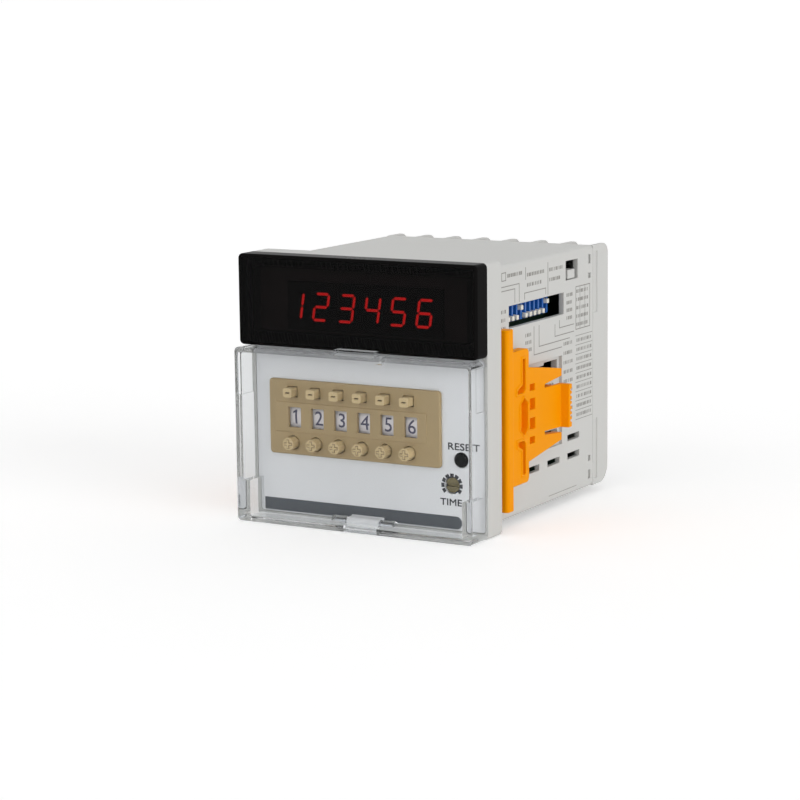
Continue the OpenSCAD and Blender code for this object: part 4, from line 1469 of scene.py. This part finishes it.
@dataclass
class PushWheelBlock:
    """Tan switch block with its keys and number drums."""

    units: int = 6
    edge: Rounding = Rounding(0.09 * MM)
    figures: int = 10
    figure_height: float = 3.85 * MM
    figure_shift: float = -0.44 * MM
    figure_depth: float = 0.05 * MM
    figure_sunk: float = 0.02 * MM
    figure_weight: float = 0.03 * MM
    flag_reach: float = 0.9 * MM
    flag_drop: float = 1.1 * MM
    flag_width: float = 0.6 * MM
    cuts: int = 9
    mark_depth: float = 0.3 * MM
    minus_mark: Point = (1.35 * MM, 0.44 * MM)
    plus_mark: Point = (2.45 * MM, 0.80 * MM)

    def build(self, model: Construction) -> None:
        """Build the block, its keys and its drums.

        Args:
            model: The construction model.
        """
        model.dress("switch_frame", "switch_bezel", TAN, "tan", self.edge)
        for unit in range(1, self.units + 1):
            self._key(model, "minus", unit, bar_outline(*self.minus_mark))
            self._key(model, "plus", unit, cross_outline(*self.plus_mark))
            model.dress(
                f"number_wheel_{unit}", f"number_drum_{unit}", DRUM_WHITE, "wheel_white", self.edge)
            figures = new_object(f"drum_figures_{unit}", self._figures(unit))
            model.add(figures, f"wheel_{unit}", INK_SLATE, "wheel_white")

    def _key(self, model: Construction, sign: str, unit: int, outline: Sequence[Point]) -> None:
        """Build a key and lay painted shade round its mark: a dark sheet in the groove of a minus and round
        the foot of the cross of a plus.

        Args:
            model: The construction model.
            sign: The key's sign, in words.
            unit: Number of the switch unit, from 1 on the left.
            outline: Outline of the painted shade about the key's middle.
        """
        node = f"{sign}_button_{unit}"
        name = f"{sign}_mark_{unit}"
        model.dress(node, f"{sign}_key_{unit}", KEY_TAN, "tan", self.edge)
        middle = model.centre(node)
        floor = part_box(node)[0].y + self.mark_depth
        # Painted shade: a dark sheet at the depth of the mark, in the groove of a minus and round the foot
        # of a plus's cross.
        mesh = slab(outline, INK_DEPTH, name)
        mesh.transform(Facing.FRONT.place(Vector((middle.x, floor, middle.z))))
        model.add(new_object(name, mesh), model.carrier[node], KEY_PAINTED_SHADE, "tan")

    def _figures(self, unit: int) -> Mesh:
        """Lay the figures round a drum, with the unit's own number in front.

        Args:
            unit: Number of the switch unit, from 1 on the left.

        Returns:
            The figures as one mesh.
        """
        low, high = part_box(f"number_wheel_{unit}")
        axle = (low + high) / 2
        radius = (high.z - low.z) / 2
        meshes = []
        for figure in range(self.figures):
            mesh = legend(str(figure), (0.0, self.figure_height), self.figure_depth, f"figure_{figure}",
                          self.figure_weight)
            if figure == 1:
                mesh = joined([mesh, self._flag()], mesh.name)
            self._slice(mesh)
            start = 2 * math.pi / self.figures * (figure - unit)
            for vertex in mesh.vertices:
                across = axle.x + vertex.co.x + self.figure_shift
                angle = start + vertex.co.y / radius
                reach = radius + vertex.co.z - self.figure_sunk
                vertex.co = Vector((across, axle.y - reach * math.cos(angle),
                                    axle.z + reach * math.sin(angle)))
            meshes.append(mesh)
        return joined(meshes, f"drum_figures_{unit}")

    def _flag(self) -> Mesh:
        """Make the slanting stroke at the top left of a figure 1.

        Returns:
            The closed stroke.
        """
        top = self.figure_height / 2
        outline = [(-self.flag_reach, top - self.flag_drop), (0.0, top - self.flag_width), (0.0, top),
                   (-self.flag_reach, top - self.flag_drop + self.flag_width)]
        return slab(outline, self.figure_depth, "flag")

    def _slice(self, mesh: Mesh) -> None:
        """Cut a flat figure into bands, so that it can bend round the drum.

        Args:
            mesh: The figure, about its middle.
        """
        work = bmesh.new()
        work.from_mesh(mesh)
        for step in range(1, self.cuts + 1):
            height = self.figure_height * (step / (self.cuts + 1) - 1 / 2)
            bmesh.ops.bisect_plane(work, geom=[*work.verts, *work.edges, *work.faces],
                                   plane_co=(0.0, height, 0.0), plane_no=(0.0, 1.0, 0.0))
        work.to_mesh(mesh)
        work.free()


@dataclass
class ClearLid:
    """Clear cover on its hinge pin."""

    edge: Rounding = Rounding(0.06 * MM)
    pin_edge: Rounding = Rounding(0.1 * MM)

    def build(self, model: Construction) -> None:
        """Build the cover and the pin."""
        model.dress("front_cover", "clear_lid", CLEAR, "clear", self.edge)
        model.dress("hinge_pin", "lid_pin", STEEL, "steel", self.pin_edge)


@dataclass
class SideSwitches:
    """Lever switch and selector behind the windows of the right side."""

    levers: int = 10
    edge: Rounding = Rounding(0.1 * MM)
    lever_edge: Rounding = Rounding(0.2 * MM, 3)

    def build(self, model: Construction) -> None:
        """Build the lever switch, its levers and the selector's knob.

        Args:
            model: The construction model.
        """
        model.dress("dip_body", "lever_housing", LEVER_BLUE, "blue", self.edge)
        for lever in range(1, self.levers + 1):
            model.dress(f"dip_lever_{lever}", f"small_lever_{lever}", LEVER_IVORY, "ivory", self.lever_edge)
        model.dress("selector_knob", "selector_slider", CASE_GREY, "case_grey", self.lever_edge)
        model.paint("selector_body", CAP_BLACK)


@dataclass
class PanelClamps:
    """The two orange slide-on brackets."""

    edge: Rounding = Rounding(0.22 * MM, 3)

    def build(self, model: Construction) -> None:
        """Build both brackets."""
        for side in ("right", "left"):
            model.dress(f"bracket_{side}", f"panel_clamp_{side}", CLAMP_ORANGE, "orange", self.edge)


@dataclass
class TerminalRow:
    """Rear barrier block with its tabs, clamps and screws."""

    columns: int = 7
    rows: int = 2
    edge: Rounding = Rounding(0.15 * MM)
    metal_edge: Rounding = Rounding(0.1 * MM)
    screw_edge: Rounding = Rounding(0.3 * MM, 3)
    screw_turn: float = math.radians(75)
    screw_seed: int = 5
    screw_room: float = 0.9
    figure_height: float = 1.9 * MM
    figure_up: float = 16.1 * MM
    middle_sunk: float = 1.2 * MM

    def build(self, model: Construction, grid: PointTree) -> None:
        """Build the block and its metal parts.

        Args:
            model: The construction model.
            grid: The tree that fills rows and columns.
        """
        model.dress("terminal_block", "rear_block", CASE_GREY, "case_grey", self.edge)
        model.dress("terminal_tabs", "rear_tabs", STEEL, "steel", self.metal_edge)
        model.dress("terminal_clamps", "wire_clamps", BRASS, "brass", self.metal_edge)
        self._screws(model, grid)
        self._numbers(model)

    def _pitch(self) -> float:
        """Return the distance from one terminal to the next."""
        low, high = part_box("terminal_tabs")
        return (high.x - low.x) / self.columns

    def _first_screw(self, model: Construction) -> Mesh:
        """Cut the first screw of the upper row from the construction.

        Args:
            model: The construction model.

        Returns:
            The screw alone, in place.
        """
        mesh = model.shape("terminal_screws")
        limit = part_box("terminal_screws")[0].x + self._pitch() * self.screw_room
        work = bmesh.new()
        work.from_mesh(mesh)
        others = [v for v in work.verts if v.co.x > limit or v.co.z < 0]
        bmesh.ops.delete(work, geom=others, context="VERTS")
        work.to_mesh(mesh)
        work.free()
        return mesh

    def _screws(self, model: Construction, grid: PointTree) -> None:
        """Set one screw at each terminal, each turned by its own angle.

        Args:
            model: The construction model.
            grid: The tree that fills rows and columns.
        """
        all_low, all_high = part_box("terminal_screws")
        mesh = self._first_screw(model)
        low, high = mesh_box(mesh)
        first = Vector(((low.x + high.x) / 2, 0.0, (low.z + high.z) / 2))
        span = (all_high.x - all_low.x) - (high.x - low.x)
        mesh.transform(Matrix.Rotation(math.pi / 2, 4, "X") @ Matrix.Translation(-first))
        screw = rounded(mesh, self.screw_edge, "screw")
        made = grid.run(screw, STEEL, {
            "Count": self.columns * self.rows, "Columns": float(self.columns),
            "Column Pitch": span / (self.columns - 1), "Row Pitch": 2 * first.z,
            "Turn": self.screw_turn, "Seed": self.screw_seed}, "wire_screws")
        made.transform(Matrix.Translation(first) @ Matrix.Rotation(-math.pi / 2, 4, "X"))
        piece = model.add(new_object("wire_screws", made), "counter", STEEL, "steel")
        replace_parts(piece, "terminal_screws")

    def _numbers(self, model: Construction) -> None:
        """Print a number beside each terminal, on the sunk middle of the block.

        Args:
            model: The construction model.
        """
        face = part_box("terminal_block")[1].y - self.middle_sunk
        pitch = self._pitch()
        sheet = InkSheet(Facing.REAR, Vector((0.0, face, 0.0)))
        for number in range(1, self.columns * self.rows + 1):
            column = (number - 1) % self.columns - (self.columns - 1) / 2
            row = 1 if number <= self.columns else -1
            mesh = legend(str(number), (0.0, self.figure_height), INK_DEPTH, "number")
            sheet.lay(mesh, column * pitch / MM, row * self.figure_up / MM)
        model.add(sheet.piece("terminal_numbers"), "counter", INK_DARK, "case_grey")


@dataclass
class Interior:
    """Boards and parts inside, seen only through the windows and vents."""

    finishes: tuple[tuple[str, Finish], ...] = (
        ("display_board", BOARD_GREEN),
        ("main_board", BOARD_GREEN),
        ("power_board", BOARD_GREEN),
        ("switch_wafers", TAN),
        ("switch_end_plate", TAN),
        ("reset_switch", CAP_BLACK),
        ("trimmer_body", LEVER_BLUE),
        ("transformer_core", CORE_SHEETS),
        ("transformer_coil", COIL_TURNS),
        ("relay", CAP_BLACK),
        ("capacitor", CAP_BLACK),
    )

    def build(self, model: Construction) -> None:
        """Finish the inner parts in their own shapes."""
        for node, finish in self.finishes:
            model.paint(node, finish)


def heading(azimuth: float, elevation: float) -> Vector:
    """Work out the direction from the object towards a viewer.

    Args:
        azimuth: Degrees round from the front, to the right.
        elevation: Degrees up from the floor.

    Returns:
        The direction, of length 1.
    """
    a = math.radians(azimuth)
    e = math.radians(elevation)
    return Vector((math.sin(a) * math.cos(e), -math.cos(a) * math.cos(e), math.sin(e)))


@dataclass(frozen=True)
class SoftSun:
    """A wide, even studio light from one direction, with its angles in degrees."""

    name: str
    azimuth: float
    elevation: float
    strength: float
    spread: float

    def build(self) -> None:
        """Add the lamp."""
        lamp = bpy.data.lights.new(self.name, "SUN")
        lamp.energy = self.strength * math.pi
        lamp.angle = math.radians(self.spread)
        holder = new_object(self.name, lamp)
        holder.rotation_mode = "QUATERNION"
        holder.rotation_quaternion = (-heading(self.azimuth, self.elevation)).to_track_quat("-Z", "Y")


@dataclass
class Studio:
    """Camera, with its azimuth and elevation in degrees, floor, lamps and the pale surroundings."""

    azimuth: float = 29.99
    elevation: float = 9.44
    roll: float = math.radians(-0.65)
    distance: float = 676.98 * MM
    lens: float = 115.2
    clip_start: float = 10 * MM
    aim: Vector = field(default_factory=lambda: Vector((5.65, 0.0, -2.52)) * MM)
    floor_side: float = 24.0
    floor_depth: float = 1 * MM
    floor_gap: float = 0.02 * MM
    world_light: float = 0.6
    lamps: tuple[SoftSun, ...] = (
        SoftSun("key_light", 78.0, 12.0, 0.40, 40.0),
        SoftSun("fill_light", -18.0, 17.0, 0.20, 60.0),
    )

    def build(self, low: Vector) -> None:
        """Build the studio round the object.

        Args:
            low: Lowest corner of the object.
        """
        self._camera()
        self._floor(low.z - self.floor_gap)
        self._world()
        for lamp in self.lamps:
            lamp.build()
        bpy.context.scene.view_settings.view_transform = "Standard"

    def _camera(self) -> None:
        """Add the camera at the photograph's viewing angle."""
        back = heading(self.azimuth, self.elevation)
        a = math.radians(self.azimuth)
        level = Vector((math.cos(a), math.sin(a), 0.0))
        upright = back.cross(level)
        right = level * math.cos(self.roll) + upright * math.sin(self.roll)
        up = upright * math.cos(self.roll) - level * math.sin(self.roll)
        data = bpy.data.cameras.new("camera")
        data.lens = self.lens
        data.clip_start = self.clip_start
        camera = new_object("camera", data)
        turn = Matrix((right, up, back)).transposed().to_4x4()
        camera.matrix_world = Matrix.Translation(self.aim + back * self.distance) @ turn
        bpy.context.scene.camera = camera

    def _floor(self, height: float) -> None:
        """Add the pale floor.

        Args:
            height: Height of its upper face.
        """
        mesh = slab(bar_outline(self.floor_side, self.floor_side), self.floor_depth, "floor")
        mesh.transform(Matrix.Translation((0.0, 0.0, height - self.floor_depth)))
        mesh.materials.append(FLOOR_PAPER.material())
        floor = new_object("floor", mesh)
        floor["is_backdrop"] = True

    def _world(self) -> None:
        """Set the surroundings: white where they are seen, plain light elsewhere."""
        world = bpy.data.worlds.new("surroundings")
        bpy.context.scene.world = world
        world.use_nodes = True
        board = NodeBoard(world.node_tree)
        world.node_tree.nodes.clear()
        light = board.add("ShaderNodeBackground", {"Color": WHITE, "Strength": self.world_light})
        seen = board.add("ShaderNodeBackground", {"Color": WHITE, "Strength": 1.0})
        mix = board.add("ShaderNodeMixShader")
        board.link(background_rays(board), mix.inputs[0])
        board.link(light.outputs[0], mix.inputs[1])
        board.link(seen.outputs[0], mix.inputs[2])
        board.link(mix.outputs[0], board.add("ShaderNodeOutputWorld").inputs["Surface"])


def main() -> None:
    """Build the studio and each sub-assembly in order."""
    logging.basicConfig(level=logging.INFO, format="%(name)s: %(message)s")
    for leftover in list(bpy.data.objects):
        bpy.data.objects.remove(leftover)
    model = Construction(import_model())
    construction_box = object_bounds()
    Studio().build(construction_box[0])
    grid = grid_tree()
    arc = arc_tree()
    CaseShell().build(model, grid)
    DisplayWindow().build(model)
    FrontPanel().build(model, arc)
    PushWheelBlock().build(model)
    ClearLid().build(model)
    SideSwitches().build(model)
    PanelClamps().build(model)
    TerminalRow().build(model, grid)
    Interior().build(model)


if __name__ == "__main__":
    main()
